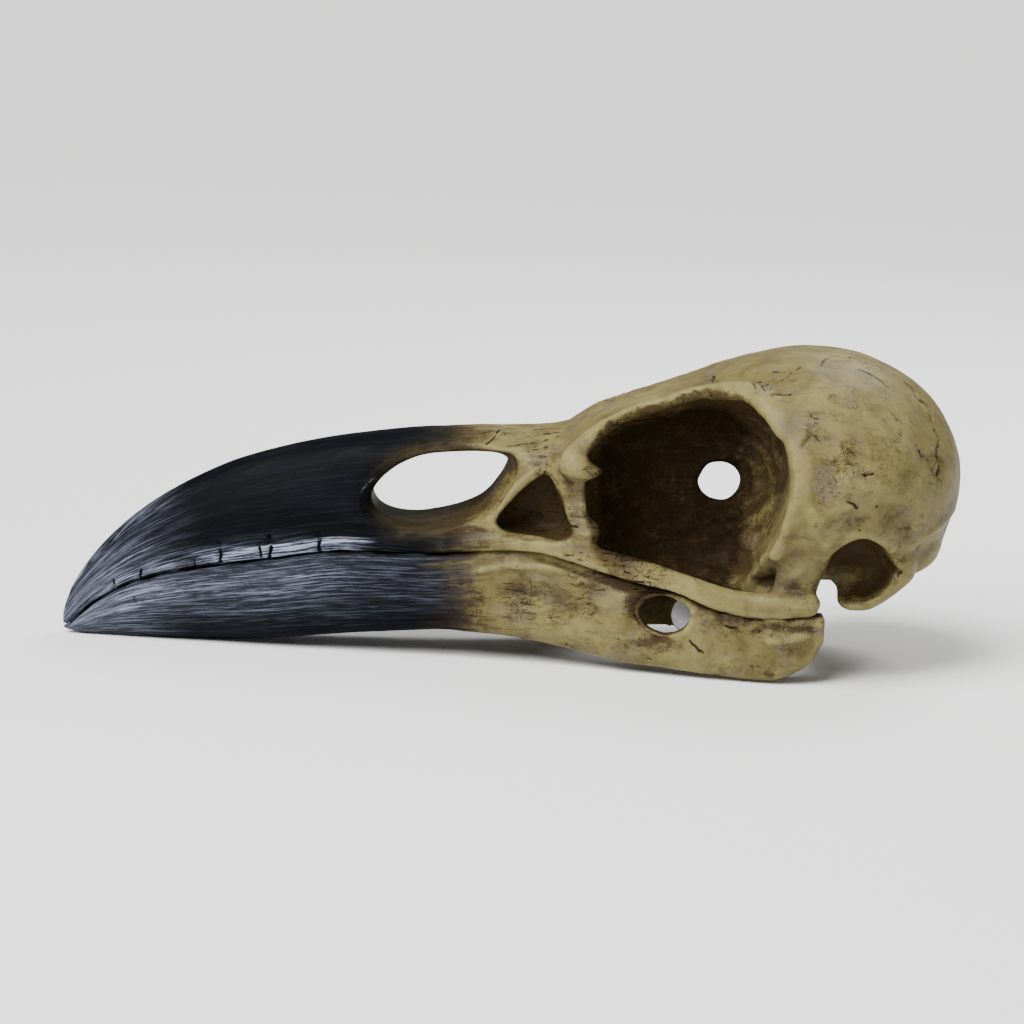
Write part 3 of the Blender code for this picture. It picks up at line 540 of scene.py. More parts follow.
# marks: kind, width, height, then lines of places on the left side (x, y, z)
skullMarks = [
    ("crack", 0.85, -0.7, ((-67.8, -10, 24.6), (-67.4, -10.1, 22.4), (-66.9, -9.5, 19.6))),
    ("crack", 0.8, -0.55, ((-58, -11.3, 25), (-57.6, -11, 23.4), (-57.3, -10.8, 21.6))),
    ("crack", 0.95, -0.75, ((-55.9, -11.4, 26.7), (-55.5, -11.4, 24), (-55.4, -10.8, 21.2))),
    ("crack", 0.9, -0.75, ((-44.2, -12.8, 27.9), (-44.3, -12.6, 25.2), (-43.7, -12, 22.8))),
    ("crack", 0.4, -0.3, ((-41.3, -12.9, 25.4), (-41.1, -12.8, 23.6)), ((-39.7, -13, 25.5),
        (-39.5, -12.9, 23.6))),
    ("crack", 0.5, -0.5, ((-92.4, -5.6, 13.6), (-92.3, -5.6, 12.2), (-92.5, -5.3, 10.8)), ((-86, -7.2, 17),
        (-86.2, -7, 15.6), (-86.1, -6.9, 14.2)), ((-73.2, -9.1, 20.2), (-73, -9, 19), (-73.3, -8.8, 17.8))),
    ("crack", 0.5, -0.55, ((7.3, -17, 44.9), (8.7, -18.1, 43.6), (10.2, -19.1, 42.6))),
    ("crack", 0.45, -0.5, ((10.5, -19.6, 45.3), (12.4, -19.6, 44.2), (14.3, -19.6, 43.1))),
    ("crack", 0.3, -0.25, ((4.7, -4.9, 53), (7.5, -4.2, 53.2), (11, -4.9, 53.7)), ((3.6, -8.2, 52),
        (7.5, -7.6, 52.6), (11, -7.7, 53.2))),
    ("crack", 0.35, -0.35, ((-1.7, -10.4, 49.8), (1.3, -10.5, 50.4), (4.8, -10.6, 51.1),
        (10.5, -9.7, 52.5))),
    ("crack", 0.3, -0.25, ((-5.7, -9.6, 49.8), (-4.4, -7.2, 51.4), (-3.3, -4.3, 52.6))),
    ("crack", 0.45, -0.45, ((21.2, -9, 58.6), (21.5, -11, 57.4), (21.4, -13.5, 55.8))),
    ("crack", 0.4, -0.35, ((27.8, -4, 61.4), (29.9, -6, 61.4), (31.6, -6.5, 61.6))),
    ("crack", 0.5, -0.55, ((46.1, -8, 67.6), (45.9, -12, 65.9), (46.2, -15, 64.6))),
    ("crack", 0.55, -0.5, ((56.5, -17.5, 68.6), (54.6, -19, 67.6), (55.1, -22.5, 66.7))),
    ("crack", 0.5, -0.45, ((57.9, -19, 68.2), (56.5, -21, 67.3), (57.2, -23.5, 66.4)), ((62.7, -25, 67.2),
        (59.4, -24, 66.7), (58.5, -26.2, 65.4))),
    ("crack", 0.45, -0.3, ((11.5, -17.4, 33.4), (13.6, -17.8, 32.2), (15.6, -18.6, 33.6), (17.6, -19.2, 32)),
        ((10.2, -16.6, 41.8), (11.6, -17, 39), (12.2, -17.2, 36))),
    ("crack", 0.45, -0.4, ((73.3, -8.1, 73.4), (75.7, -7.6, 73.2), (77.8, -7.1, 73))),
    ("crack", 0.4, -0.35, ((73.8, -8, 73.4), (71.8, -10, 73.2), (70.4, -14.4, 72.1))),
    ("crack", 0.45, -0.45, ((59.4, -15.1, 70.2), (61.8, -16.2, 70.4), (63.9, -16.4, 70.8),
        (65.7, -15.7, 71.4))),
    ("crack", 0.4, -0.4, ((63.6, -17.2, 70.4), (62.4, -18.4, 69.6), (61.2, -19.4, 68.8))),
    ("crack", 0.35, -0.3, ((79, -13.9, 71.2), (81.5, -14.5, 70.4), (83.6, -15.4, 69.4),
        (85.9, -16.3, 68.1))),
    ("crack", 0.6, -0.65, ((90.7, -9, 67.9), (92.5, -10.2, 66.2), (93.5, -12.9, 64.6), (95.5, -11.9, 63.1),
        (96.8, -15.2, 60.1)), ((96.9, -17.5, 58.4), (98.1, -18.4, 56), (97.4, -22, 53.1), (98.2, -21.6, 51.5),
        (97.2, -24.2, 48.4))),
    ("crack", 0.4, -0.35, ((92.3, -25.8, 56.1), (93.5, -26.1, 53.9), (95.1, -25.3, 52.4)),
        ((67.3, -30.3, 62.4), (69.1, -30.9, 62.1)), ((65.3, -34.5, 56.1), (66.6, -33.8, 57.6),
        (68.1, -33.4, 58.8), (69.7, -34.2, 57.6), (72.7, -33.8, 58.1))),
    ("crack", 0.4, -0.3, ((77.6, -36.1, 51.1), (79.7, -35.8, 50.4), (81.8, -35, 50.8)), ((71.8, -37.4, 47.6),
        (73, -37.4, 46.8), (74.4, -37.4, 46.1))),
    ("crack", 0.45, -0.35, ((76.3, -37.2, 44.6), (77.5, -36.9, 43.9), (78.7, -36.6, 42.9)),
        ((83.1, -35.3, 43.1), (85.2, -34.4, 42.5), (87.4, -33.2, 42.2)), ((79, -35.7, 38.6),
        (79.5, -35.3, 37.6))),
    ("crack", 1.3, -1.1, ((86.7, -22.5, 29), (88.2, -24.7, 27.8), (90, -26.4, 26.3))),
    ("ridge", 2.4, 0.5, ((53, -22.8, 67.2), (56.6, -26.2, 64.6), (60.6, -30, 59), (63.6, -33, 53),
        (64.8, -34.6, 46), (63.8, -34.6, 39), (61.6, -32.8, 33))),
    ("ridge", 3.6, 0.55, ((64.8, -26, 24.9), (67.9, -29.6, 28), (70.9, -32.8, 31.8), (72.8, -35, 35),
        (76, -35.4, 37))),
    ("ridge", 3, 0.4, ((68.2, -37.6, 43.4), (68.8, -36.9, 39.9), (70.3, -35.4, 35.5), (73.4, -34.6, 33.6))),
    ("ridge", 2.8, 0.3, ((70, -36.7, 38.7), (72.8, -37.3, 41.9), (75.7, -37.1, 43.1), (78.7, -36.6, 42.9))),
    ("ridge", 2.6, 0.5, ((74.8, -34.3, 33.8), (77.3, -34.9, 35.9), (80.1, -34.6, 36.6), (83.2, -33, 35.5),
        (85.8, -30, 32.9), (88, -27.9, 29.7))),
    ("groove", 3.4, -0.45, ((70.8, -36, 39), (73.5, -36.8, 38.4), (77, -36.2, 39.4), (82, -35, 39.6))),
    ("groove", 3.6, -0.45, ((84.4, -34.6, 41.2), (88.8, -31.8, 38), (91.5, -27.1, 33.7))),
    ("ridge", 2.6, 0.5, ((90.5, -26.5, 30.5), (95.5, -22.5, 34.5), (99, -16, 38), (100.8, -8, 40))),
    ("ridge", 2, 0.7, ((84, -14, 21.5), (89, -12, 22.5), (94, -9.5, 24.5))),
    ("groove", 1.2, -0.4, ((-9, -15.8, 30.8), (-2, -16.8, 30.3), (7, -18.4, 29.8))),
    ("ridge", 1.6, 0.45, ((-30.7, -9.3, 45.6), (-23.8, -8.5, 48.2), (-16.9, -7.9, 49.9), (-8.7, -9.1, 49.9),
        (-2, -10.5, 48.9))),
    ("groove", 1.4, -0.35, ((-2, -12.5, 47.6), (0.5, -14.6, 42), (-3.2, -16, 38.4), (-8.5, -15.2, 34.6))),
    ("ridge", 1.6, 0.5, ((-3.2, -16.4, 37.4), (-0.1, -17.2, 40.6), (3.6, -16.8, 44), (7.2, -15.8, 46.6))),
]

skullSwells = [
    (-36, 38.8, 9.5, 8, 20, -0.9), (-24, 29.5, 12, 3.4, 0, -0.7), (-8, 31, 8, 3.4, 20, -0.6),
    (4, 35, 6.5, 6.5, 0, -0.8), (13, 33, 3.5, 5, 10, 0.3), (78, 56, 14, 10, 0, -0.35),
    (80, 29.5, 7, 6, 0, -1.6), (88, 40, 7, 5, -30, -0.6), (76, 40, 6, 3.5, 0, -0.4),
    (70.5, 47, 4, 9, 10, -0.7)
]


def workSkull(piece):
    skin = Skin(piece)
    tree = surfaceTree(piece)
    x, y, z = skin.spots.T.copy()
    outer = skin.facingOut()
    swell(skin, skullSwells)

    nostril = besideOutline(x, z, openings["nostril"])  # shallow steps sink towards the nostril
    nearIt = (1 - eased(nostril, 0.4, 5.5)) * outer * (x < 4)
    front = 1 - eased(x, -34, -22)
    skin.push(-nearIt * (0.25 + 0.7 * front) + 0.14 * front * nearIt * np.sin(nostril * 3.4))

    hole = openings["opticHole"]                        # the bowl of the orbit, ringed round the hole
    orbit = besideOutline(x, z, openings["orbit"])
    bowl = eased(-orbit, 0.2, 2) * eased(24 - np.abs(y), 0, 6) * (z > 27) * (z < 66)
    ring = np.hypot(x - hole[0], (z - hole[1]) * 1.05)
    rough = lumps(skin.spots, 5.5, 11) + 0.6 * lumps(skin.spots, 2.3, 12)
    rings = np.sin(ring * 2.2 + 1.4 * lumps(skin.spots, 7, 14)) * np.clip(1.4 - ring / 20, 0, 1)
    lip = np.exp(-((ring - 8.6) / 1.7) ** 2) * (0.7 + 0.5 * np.clip((x - hole[0]) / 8, -1, 1))
    behind = np.clip(0.35 + (x - hole[0]) / 12, 0.1, 1)
    skin.push(bowl * ((0.16 * rings + 0.75 * lip * (ring > 4.5)) * behind + 0.3 * rough
                      + 0.35 * lumps(skin.spots, 3.2, 15) * eased(38 - z, 0, 8)))

    height = z - gapeLine(x)                            # the lip of the bill along the gape
    lipEnd = eased(x, -104, -70) * (1 - eased(x, -40, -12))
    top = np.interp(x, (-105, -68, -50, -20), (1.2, 3.6, 3.4, 1.8))
    skin.push(0.38 * lipEnd * outer * (1 - eased(height, top - 0.5, top + 0.5)) * (height > -0.2))

    bone = eased(x, -30, 0)
    skin.push((0.05 + 0.1 * bone) * lumps(skin.spots, 8, 21)
              + (0.02 + 0.055 * bone) * lumps(skin.spots, 2.6, 22))
    drawn = carve(skin, tree, skullMarks)
    skin.write()
    return drawn


jawMarks = [
    ("ridge", 1.6, 0.5, ((-8.8, -15.6, 20.5), (-1.8, -16.6, 22.2), (5.1, -17.7, 22.9), (12.1, -18.9, 23))),
    ("groove", 1.5, -0.7, ((5, -17, 25.1), (9.7, -18.1, 24.3), (14.4, -19.3, 23.1), (21.4, -21.2, 21.1),
        (30.6, -23.8, 19.1))),
    ("groove", 1.8, -0.8, ((57.7, -29, 13.6), (62.8, -29.8, 13.4), (67.4, -30, 13.2), (71.4, -29.6, 13.4))),
    ("ridge", 2.6, 0.5, ((59.5, -30.3, 10.6), (64.1, -30.5, 9.9), (69, -30.2, 11.2))),
    ("ridge", 1.4, 0.5, ((49, -27.6, 16.2), (56, -28.6, 15.2), (64, -29.4, 15))),
    ("groove", 1.8, -0.3, ((70.2, -29.8, 12.5), (70.4, -29.7, 8.7))),
    ("crack", 0.45, -0.4, ((27.7, -23.4, 6.5), (30.5, -24.1, 5.1), (33.6, -24.5, 3.4))),
    ("crack", 0.4, -0.35, ((42.5, -27.3, 9), (44.9, -27.7, 6.8))),
    ("crack", 0.5, -0.5, ((45.4, -27.8, 6.6), (45.8, -27.8, 6.2)), ((47.6, -28.3, 7.8), (48, -28.3, 7.4))),
    ("crack", 0.4, -0.35, ((49.1, -26.8, 15), (52.6, -27.1, 14.4), (59.4, -28.7, 14.1)), ((49.1, -28.2, 13),
        (53.7, -28.9, 12.3), (58.4, -30, 12.2))),
    ("crack", 0.5, -0.45, ((-87.4, -5.6, 9.8), (-87.3, -5.6, 8.6))),
    ("crack", 0.4, -0.3, ((20, -21.5, 8.5), (23.5, -22.4, 7.4), (26, -23.2, 7.6))),
    ("crack", 0.4, -0.35, ((34, -24.8, 8.4), (37.2, -25.8, 6.8), (38.6, -26.2, 6.9))),
    ("ridge", 3, 0.5, ((26, -22.6, 17), (30, -23.9, 18.6), (36, -25.2, 19.4), (43, -26.9, 18.2))),
    ("groove", 2.4, -0.6, ((-60, -9.8, 3.6), (-40, -12, 5.6), (-20, -14.4, 8.2), (-6, -15.9, 9.6))),
]

jawSwells = [
    (8, 15.5, 17, 7.5, 0, -1.1), (32, 16, 6.5, 5, 30, -1.3), (46, 12.5, 8, 4.5, -10, 0.5),
    (58, 7, 9, 5, 0, 0.5), (68, 8, 3.5, 4, 0, -0.6), (36.5, 8, 7, 3, 10, -0.4)
]


def workJaw(piece):
    skin = Skin(piece)
    tree = surfaceTree(piece)
    x, _, z = skin.spots.T.copy()
    outer = skin.facingOut()
    swell(skin, jawSwells)
    window = besideOutline(x, z, openings["jawWindow"])
    skin.push(-0.7 * outer * (1 - eased(window, 0.2, 4)) * (1 - eased(x, 33, 41)))
    bone = eased(x, -40, -5)
    rear = eased(x, 15, 45)
    skin.push((0.05 + 0.12 * bone + 0.1 * rear) * lumps(skin.spots, 7, 31)
              + (0.02 + 0.05 * bone + 0.05 * rear) * lumps(skin.spots, 2.4, 32))
    drawn = carve(skin, tree, jawMarks)
    skin.write()
    return drawn


def skyDirections(count):  # directions spread over the half sphere round +Z, most of them near it
    turn = math.pi * (3 - math.sqrt(5))
    rises = [math.sqrt(1 - (step + 0.5) / count) for step in range(count)]
    return [Vector((math.sqrt(1 - r * r) * math.cos(turn * i), math.sqrt(1 - r * r) * math.sin(turn * i), r))
            for i, r in enumerate(rises)]


def shadeOf(skin, trees, reach, rays):  # how much of the sky over each point is shut off within reach
    sky = skyDirections(rays)
    upward = Vector((0, 0, 1))
    shade = np.zeros(len(skin.spots))
    for i, (spot, normal) in enumerate(zip(skin.spots, skin.normals)):
        normal = Vector(normal)
        start = Vector(spot) * mm + normal * 0.25 * mm
        lean = upward.rotation_difference(normal)
        for ray in sky:
            way = lean @ ray
            for tree in trees:
                gap = tree.ray_cast(start, way, reach * mm)[3]
                if gap is not None:
                    shade[i] += 1 - gap / (reach * mm) * 0.6
                    break
    return shade / rays


def readForPaint(piece, drawn, trees, stains):
    skin = Skin(piece)
    x, y, z = skin.spots.T
    # how shut off from the sky each point is: the paint turns this into painted shade
    shade = skin.averaged(shadeOf(skin, trees, 16, 9), 2)[:, 0]
    fine, broad = [((skin.averaged(skin.spots, rounds) - skin.spots) * skin.normals).sum(axis=1)
                   for rounds in (3, 16)]
    hollow = np.clip(fine * 3, -1, 1) * 0.5 + np.clip(broad * 1.6, -1, 1) * 0.5
    mark, stain, den, gloom = np.zeros((4, len(x)))
    for kind, width, line in drawn:
        painted = max(width, 0.62)
        near, gap, _ = nearLine(skin.spots, line, painted * 1.3)
        if kind == "crack":
            reach = painted * (0.88 + 0.32 * lumps(skin.spots[near], 1.6, 54))
            mark[near] = np.maximum(mark[near], np.clip(1.25 - gap / reach, 0, 1))
        elif kind == "groove":
            mark[near] = np.maximum(mark[near], 0.22 * np.clip(1 - gap / width, 0, 1))
    for px, pz, reachX, reachZ, strength in stains:
        away = ((x - px) / reachX) ** 2 + ((z - pz) / reachZ) ** 2
        away = away * (1 + 0.5 * lumps(skin.spots, 4, 41))
        stain = np.maximum(stain, strength * np.clip(1.25 - away, 0, 1))
    # in the openings: brown wash near the walls (den), and painted shade deeper in (gloom)
    for name, start, end, floor, stained, strength, lean in dens:
        within = -besideOutline(x, z, openings[name])
        sunk = eased(floor + 5 - np.abs(y), 0, 8)
        if name == "orbit":                             # the upper rim is kept out of the wash and painted shade where it faces up
            sunk = sunk * (1 - eased(z, 50, 55) * eased(skin.normals[:, 2], 0, 0.6))
        # the back of the hollow is left lighter: painted light
        side = 1 - lean * eased(x, 50, 63)
        edge = eased(within, start - 1.5, start + 1.5)
        den = np.maximum(den, stained * sunk * edge * (0.35 + 0.65 * side))
        deeper = eased(within - 3.5 * eased(z, 48, 58), start, end)
        gloom = np.maximum(gloom, strength * deeper * sunk * side)
    fossa = 1 - eased(besideOutline(x, z, openings["nostril"]), 0.5, 7)
    gape, rise = gapeLine(x), z - gapeLine(x)           # the black line of the gape
    seam = np.interp(x, (-60, -30), (0.8, 0.58))
    lip = np.exp(-(rise / seam) ** 2) * (x < 73.5) * np.clip(np.abs(skin.normals[:, 1]) * 3, 0, 1)
    lip = lip * np.interp(x, (-60, -15, -8, 20, 40), (1.25, 1, 0.66, 0.5, 0.3))
    mark = np.maximum(mark, lip * (0.75 + 0.35 * lumps(skin.spots, 3, 44)))
    tall = np.where((rise < 0) & (piece.name == "jawCast"), gape - keelLine(x),
                    culmenLine(np.minimum(x, 68)) - gape)
    readings = {"den": np.clip(den * (1 + 0.18 * lumps(skin.spots, 5, 45)), 0, 1), "rise": rise,
                "gloom": np.clip(gloom, 0, 1), "fossa": fossa * (x < 6), "shade": np.clip(shade, 0, 1),
                "hollow": skin.averaged(hollow, 3)[:, 0], "mark": mark, "stain": stain,
                "share": rise / np.maximum(tall, 1)}
    for name, values in readings.items():
        skin.carry(name, values)


class Wire:  # a socket that sums can be written with
    def __init__(self, paint, socket):
        self.paint = paint
        self.socket = socket

    def maths(self, operation, *others, swap=False, clamp=False):
        values = [self, *others][::-1 if swap else 1]
        return self.paint.add("ShaderNodeMath", {"operation": operation, "use_clamp": clamp},
                              dict(enumerate(values)))

    __add__ = __radd__ = lambda self, other: self.maths("ADD", other)
    __mul__ = __rmul__ = lambda self, other: self.maths("MULTIPLY", other)
    __sub__ = lambda self, other: self.maths("SUBTRACT", other)
    __rsub__ = lambda self, other: self.maths("SUBTRACT", other, swap=True)
    __truediv__ = lambda self, other: self.maths("DIVIDE", other)
    __pow__ = lambda self, other: self.maths("POWER", other)

    def held(self):  # kept between 0 and 1
        return self.maths("ADD", 0, clamp=True)

    def ramp(self, low, high):  # 0 at low, 1 at high, smooth between
        return self.paint.add("ShaderNodeMapRange", {"interpolation_type": "SMOOTHSTEP"},
                              {"Value": self, "From Min": low, "From Max": high})


class Paint:
    def __init__(self, name):
        self.material = bpy.data.materials.new(name)
        self.material.use_nodes = True
        self.tree = self.material.node_tree
        self.shader = self.tree.nodes["Principled BSDF"]
        self.place = self.add("ShaderNodeTexCoord", {}, {}, "Object")

    def add(self, kind, settings, sockets, out=0):  # one node: settings first, then values or links
        node = self.tree.nodes.new(kind)
        for name, value in settings.items():
            setattr(node, name, value)
        for name, value in sockets.items():
            self.plug(node.inputs[name], value)
        return Wire(self, node.outputs[out])

    def plug(self, socket, value):
        if isinstance(value, Wire):
            self.tree.links.new(value.socket, socket)
        else:
            socket.default_value = (*value, 1) if socket.type == "RGBA" else value

    def noise(self, size, detail=3, roughness=0.5, place=None, stretch=None, turn=(0, 0, 0), warp=0):
        place = place or self.place
        if stretch:
            turn = tuple(math.radians(angle) for angle in turn)
            place = self.add("ShaderNodeMapping", {}, {"Vector": place, "Scale": stretch, "Rotation": turn})
        sockets = {"Vector": place, "Scale": 1 / (size * mm), "Detail": detail, "Roughness": roughness,
                   "Distortion": warp}
        return self.add("ShaderNodeTexNoise", {}, sockets, "Fac")

    def cells(self, size):
        sockets = {"Vector": self.place, "Scale": 1 / (size * mm)}
        return self.add("ShaderNodeTexVoronoi", {}, sockets, "Distance")

    def read(self, name):
        return self.add("ShaderNodeAttribute", {"attribute_name": name}, {}, "Fac")

    def mix(self, share, under, over):
        return self.add("ShaderNodeMix", {"data_type": "RGBA"}, {0: share, 6: under, 7: over}, 2)

    def layers(self, colours, first, *others):  # named colours, each over the last by its share
        colour = colours[first]
        for share, name in others:
            colour = self.mix(share, colour, colours[name])
        return colour

    def finish(self, values, bumps=()):
        for height, strength, depth in bumps:
            sockets = {"Height": height, "Strength": strength, "Distance": depth * mm}
            if "Normal" in values:
                sockets["Normal"] = values["Normal"]
            values["Normal"] = self.add("ShaderNodeBump", {}, sockets)
        for name, value in values.items():
            self.plug(self.shader.inputs[name], value)
        return self.material


# the paint: black horn brushed with blue-grey, fading to olive bone with a brown wash, with painted shade in
# hollows and painted highlights on bulging rims
coat = {
    "bone": (0.128, 0.103, 0.036),
    "paleBoneAndHighlight": (0.258, 0.223, 0.09),
    "boneDull": (0.06, 0.045, 0.0175),
    # the two wash colours carry painted shade as well as the brown wash
    "washAndShade": (0.033, 0.0195, 0.008),
    "deepWashAndShade": (0.011, 0.0068, 0.003),
    "horn": (0.0022, 0.0023, 0.0032),
    "hornDull": (0.0032, 0.0036, 0.0058),
    "brushed": (0.265, 0.288, 0.38),
    "lilac": (0.12, 0.09, 0.082),
    "hornEnds": -12.5,        # where black gives way to bone, along X
    "hornRagged": 8,          # over this length
    "blotches": (2.4, 3),     # how much the wash is broken up, on the skull and on the jaw
    "hornGrey": (0.05, 0.1),  # how grey the light parts of the horn are between the streaks
}


def castPaint(name, lower):
    paint = Paint(name)
    x, y = [paint.add("ShaderNodeSeparateXYZ", {}, {"Vector": paint.place}, axis) for axis in "XY"]
    x = x / mm
    share, rise, fossa, shade, hollow, mark, stain, den, gloom = [paint.read(word) for word in (
        "share", "rise", "fossa", "shade", "hollow", "mark", "stain", "den", "gloom")]

    # streaks run along the bill: they are drawn over (x, share of the height, side)
    crown = share.ramp(0.66, 0.9)                       # over the ridge they keep to its length
    flow = paint.add("ShaderNodeCombineXYZ", {}, {"X": x * mm, "Y": share.maths("MINIMUM", 0.86) * 0.03,
                                                  "Z": y * (0.3 + crown * 1.1)})
    hairs = paint.noise(1, 5, 0.66, flow, (0.075, 2.2, 0.9))
    strands = paint.noise(1, 3, 0.6, flow, (0.035, 0.42, 0.25))
    scuffs = paint.noise(1, 4, 0.66, flow, (0.17, 3.5, 1.5))
    ragged = paint.noise(1, 5, 0.7, flow, (0.07, 0.8, 0.5))
    reach = x - (ragged - 0.5) * 18 - (paint.noise(9) - 0.5) * 12

    # the brown wash on the bone lies in what is hollow and in patches; painted shade darkens it where the sky
    # is shut off and inside the openings
    cloud = paint.noise(15, 4, 0.6)
    along = x.ramp(20, 62)
    blots = paint.noise(3.2, 6, 0.68, warp=0.4)
    streaks = paint.noise(1, 6, 0.7, None, (0.075, 0.42, 0.42), (0, 12, 0), warp=0.3)
    broken = blots * (0.35 + along * 0.65) + streaks * (0.65 - along * 0.65)
    spread = (broken - 0.5) * (1 - den * 0.6)
    grain = paint.noise(1, 4, 0.62, None, (0.16, 0.75, 0.75), (0, 20, 0))
    dots = 1 - paint.noise(0.8, 2).ramp(0.29, 0.36)
    patches = (paint.noise(11, 3, 0.6).ramp(0.48, 0.62) * 0.8 + stain + den * 0.8).held()
    bend = paint.noise(2.4, 3, 0.55, warp=1.6) - 0.5
    wrinkles = (1 - bend.maths("ABSOLUTE") * 34).held() * patches
    cuts = paint.noise(1, 3, 0.55, None, (0.1, 1.1, 1.1), (0, 14, 0), warp=0.35)
    strokes = cuts.ramp(0.56, 0.61) * (patches * 1.2 + 0.04).held() * (1 - x.ramp(26, 50) * 0.85)
    tinge = paint.noise(8, 4, 0.62, warp=0.5).ramp(0.47, 0.66) * (0.22 + patches * 0.36)
    washAndShade = (shade * 0.75 + hollow.ramp(0, 0.42) * 0.7 + stain * 0.75 + spread * coat["blotches"][lower]
            + (1 - reach.ramp(-16, -1)) * 0.6 + dots * 0.3 + (cloud - 0.5) * 0.8 + den * 0.75
            + wrinkles * 0.55 + (grain - 0.5) * 0.6)
    # painted shade deep in the openings and where the sky is most shut off, with the cracks and dark blotches
    deep = (gloom * 0.92 + shade.ramp(0.5, 0.95) * 0.45 + mark.ramp(0.45, 0.85) + spread
            - gloom * paint.noise(4.5, 5, 0.66, warp=0.6).ramp(0.5, 0.68) * 0.22
            + wrinkles * 0.35 + strokes * 0.75)
    bone = paint.layers(coat, "bone", (cloud.ramp(0.4, 0.68) * 0.45, "paleBoneAndHighlight"),
                        (paint.noise(6, 6, 0.66).ramp(0.42, 0.66) * 0.6, "boneDull"),
                        (grain.ramp(0.52, 0.72) * 0.5, "boneDull"), (tinge, "lilac"),
                        # bulging rims painted lighter: a painted highlight
                        ((0 - hollow).ramp(0.04, 0.4) * 0.5, "paleBoneAndHighlight"),
                        (washAndShade.ramp(0.08, 0.95) * 0.9, "washAndShade"),
                        (deep.ramp(0.3, 1.05) * 0.95, "deepWashAndShade"))

    # the horn is brushed with grey at the tip, below, and over the gape
    tip = 1 - x.ramp(-106, -70)
    if lower:
        lit = (share + 1).ramp(0.1, 0.8) * (1 - x.ramp(-60, -20) * 0.7) * 0.54 + tip * 0.65 + 0.03
    else:
        silver = (1 - rise.ramp(2.9, 3.9)) * x.ramp(-74, -66) * (1 - x.ramp(-42, -30))
        lit = (1 - share.ramp(0.05, 0.3)) * (1 - x.ramp(-66, -40)) * 0.5
        lit = lit + tip * (1 - share.ramp(0.4, 0.85) * 0.55) * 0.95 + 0.01 + silver * 2.2
    lit = lit + (0 - hollow).ramp(0.24, 0.6) * 0.3
    fine = hairs.ramp(0.49, 0.63) * 1.1 + scuffs.ramp(0.52, 0.66) * 0.8
    brushed = (fine * lit * (0.5 + strands.ramp(0.38, 0.64) * 0.6)).held()
    horn = paint.layers(coat, "horn", (strands.ramp(0.42, 0.66), "hornDull"),
                        (lit.held() * coat["hornGrey"][lower], "brushed"), (brushed, "brushed"),
                        (fossa ** 2 * broken.ramp(0.3, 0.62) * x.ramp(-38, -22) * 0.6, "boneDull"),
                        (mark.ramp(0.5, 0.8), "horn"))

    # black to bone, in ragged strokes
    bare = reach.ramp(coat["hornEnds"] - coat["hornRagged"], coat["hornEnds"] + coat["hornRagged"])
    rough = ((0.4 + strands * 0.12 + brushed * 0.15) * (1 - bare)
             + (0.42 + washAndShade.held() * 0.28 + grain * 0.1 + gloom * 0.2) * bare)
    relief = (hairs + scuffs * 0.5) * (1 - bare) + (grain + broken * 1.9 - wrinkles * 1.1) * bare
    pits = paint.noise(0.55, 3, 0.6) + paint.cells(1.5) * 0.4
    return paint.finish({"Base Color": paint.mix(bare, horn, bone), "Roughness": rough.held(),
                         "Coat Weight": (bare * (1 - den) * 0.15 + 0.01).held(), "Coat Roughness": 0.36,
                         "Specular IOR Level": 0.02},
                        ((relief, 0.45, 0.32), (pits * (0.35 + bare * 0.65), 0.3, 0.16)))


def clearPaint():
    paint = Paint("clearPlastic")
    haze = paint.noise(2.5)
    colour = paint.mix(haze.ramp(0.3, 0.7), (0.62, 0.58, 0.62), (0.72, 0.7, 0.74))
    return paint.finish({"Base Color": colour, "Roughness": haze * 0.15 + 0.12, "Transmission Weight": 0.55,
                         "IOR": 1.45, "Coat Weight": 0.4, "Coat Roughness": 0.08},
                        ((paint.noise(1.2, 2), 0.15, 0.1),))


# the clear pad stuck inside the left jaw
pad = {"middle": (42.9, -20.7, 13.7), "radius": 4.85, "thickness": 2.9, "turn": 10, "lean": 15,
       "edge": 0.9, "dish": 0.35, "dishWidth": 3.2}


def clearPad():
    form = bmesh.new()
    bmesh.ops.create_cone(form, cap_ends=True, segments=64, radius1=pad["radius"] * mm,
                          radius2=pad["radius"] * mm, depth=pad["thickness"] * mm)
    rims = [edge for edge in form.edges if abs(edge.verts[0].co.z - edge.verts[1].co.z) < mm / 100]
    bmesh.ops.bevel(form, geom=rims, offset=pad["edge"] * mm, segments=5, profile=0.5,
                    affect="EDGES", material=-1)
    face = max(form.faces, key=lambda f: (f.calc_center_median().z, f.calc_area()))
    rim = pad["radius"] - pad["edge"] - pad["dishWidth"]
    bmesh.ops.inset_region(form, faces=[face], thickness=rim * mm)
    bmesh.ops.translate(form, verts=list(face.verts), vec=(0, 0, -pad["dish"] * mm))
    bmesh.ops.translate(form, verts=form.verts, vec=(0, 0, -pad["thickness"] / 2 * mm))
    for angle, axis in ((90 - pad["lean"], "X"), (-pad["turn"], "Z")):
        bmesh.ops.rotate(form, verts=form.verts, cent=(0, 0, 0),
                         matrix=Matrix.Rotation(math.radians(angle), 3, axis))
    bmesh.ops.translate(form, verts=form.verts, vec=Vector(pad["middle"]) * mm)
    bmesh.ops.recalc_face_normals(form, faces=form.faces)
    piece = meshObject("clearPadDish", form)
    piece.data.materials.append(clearPaint())
    piece.data.shade_smooth()
    piece.data.set_sharp_from_angle(angle=math.radians(50))
    return piece


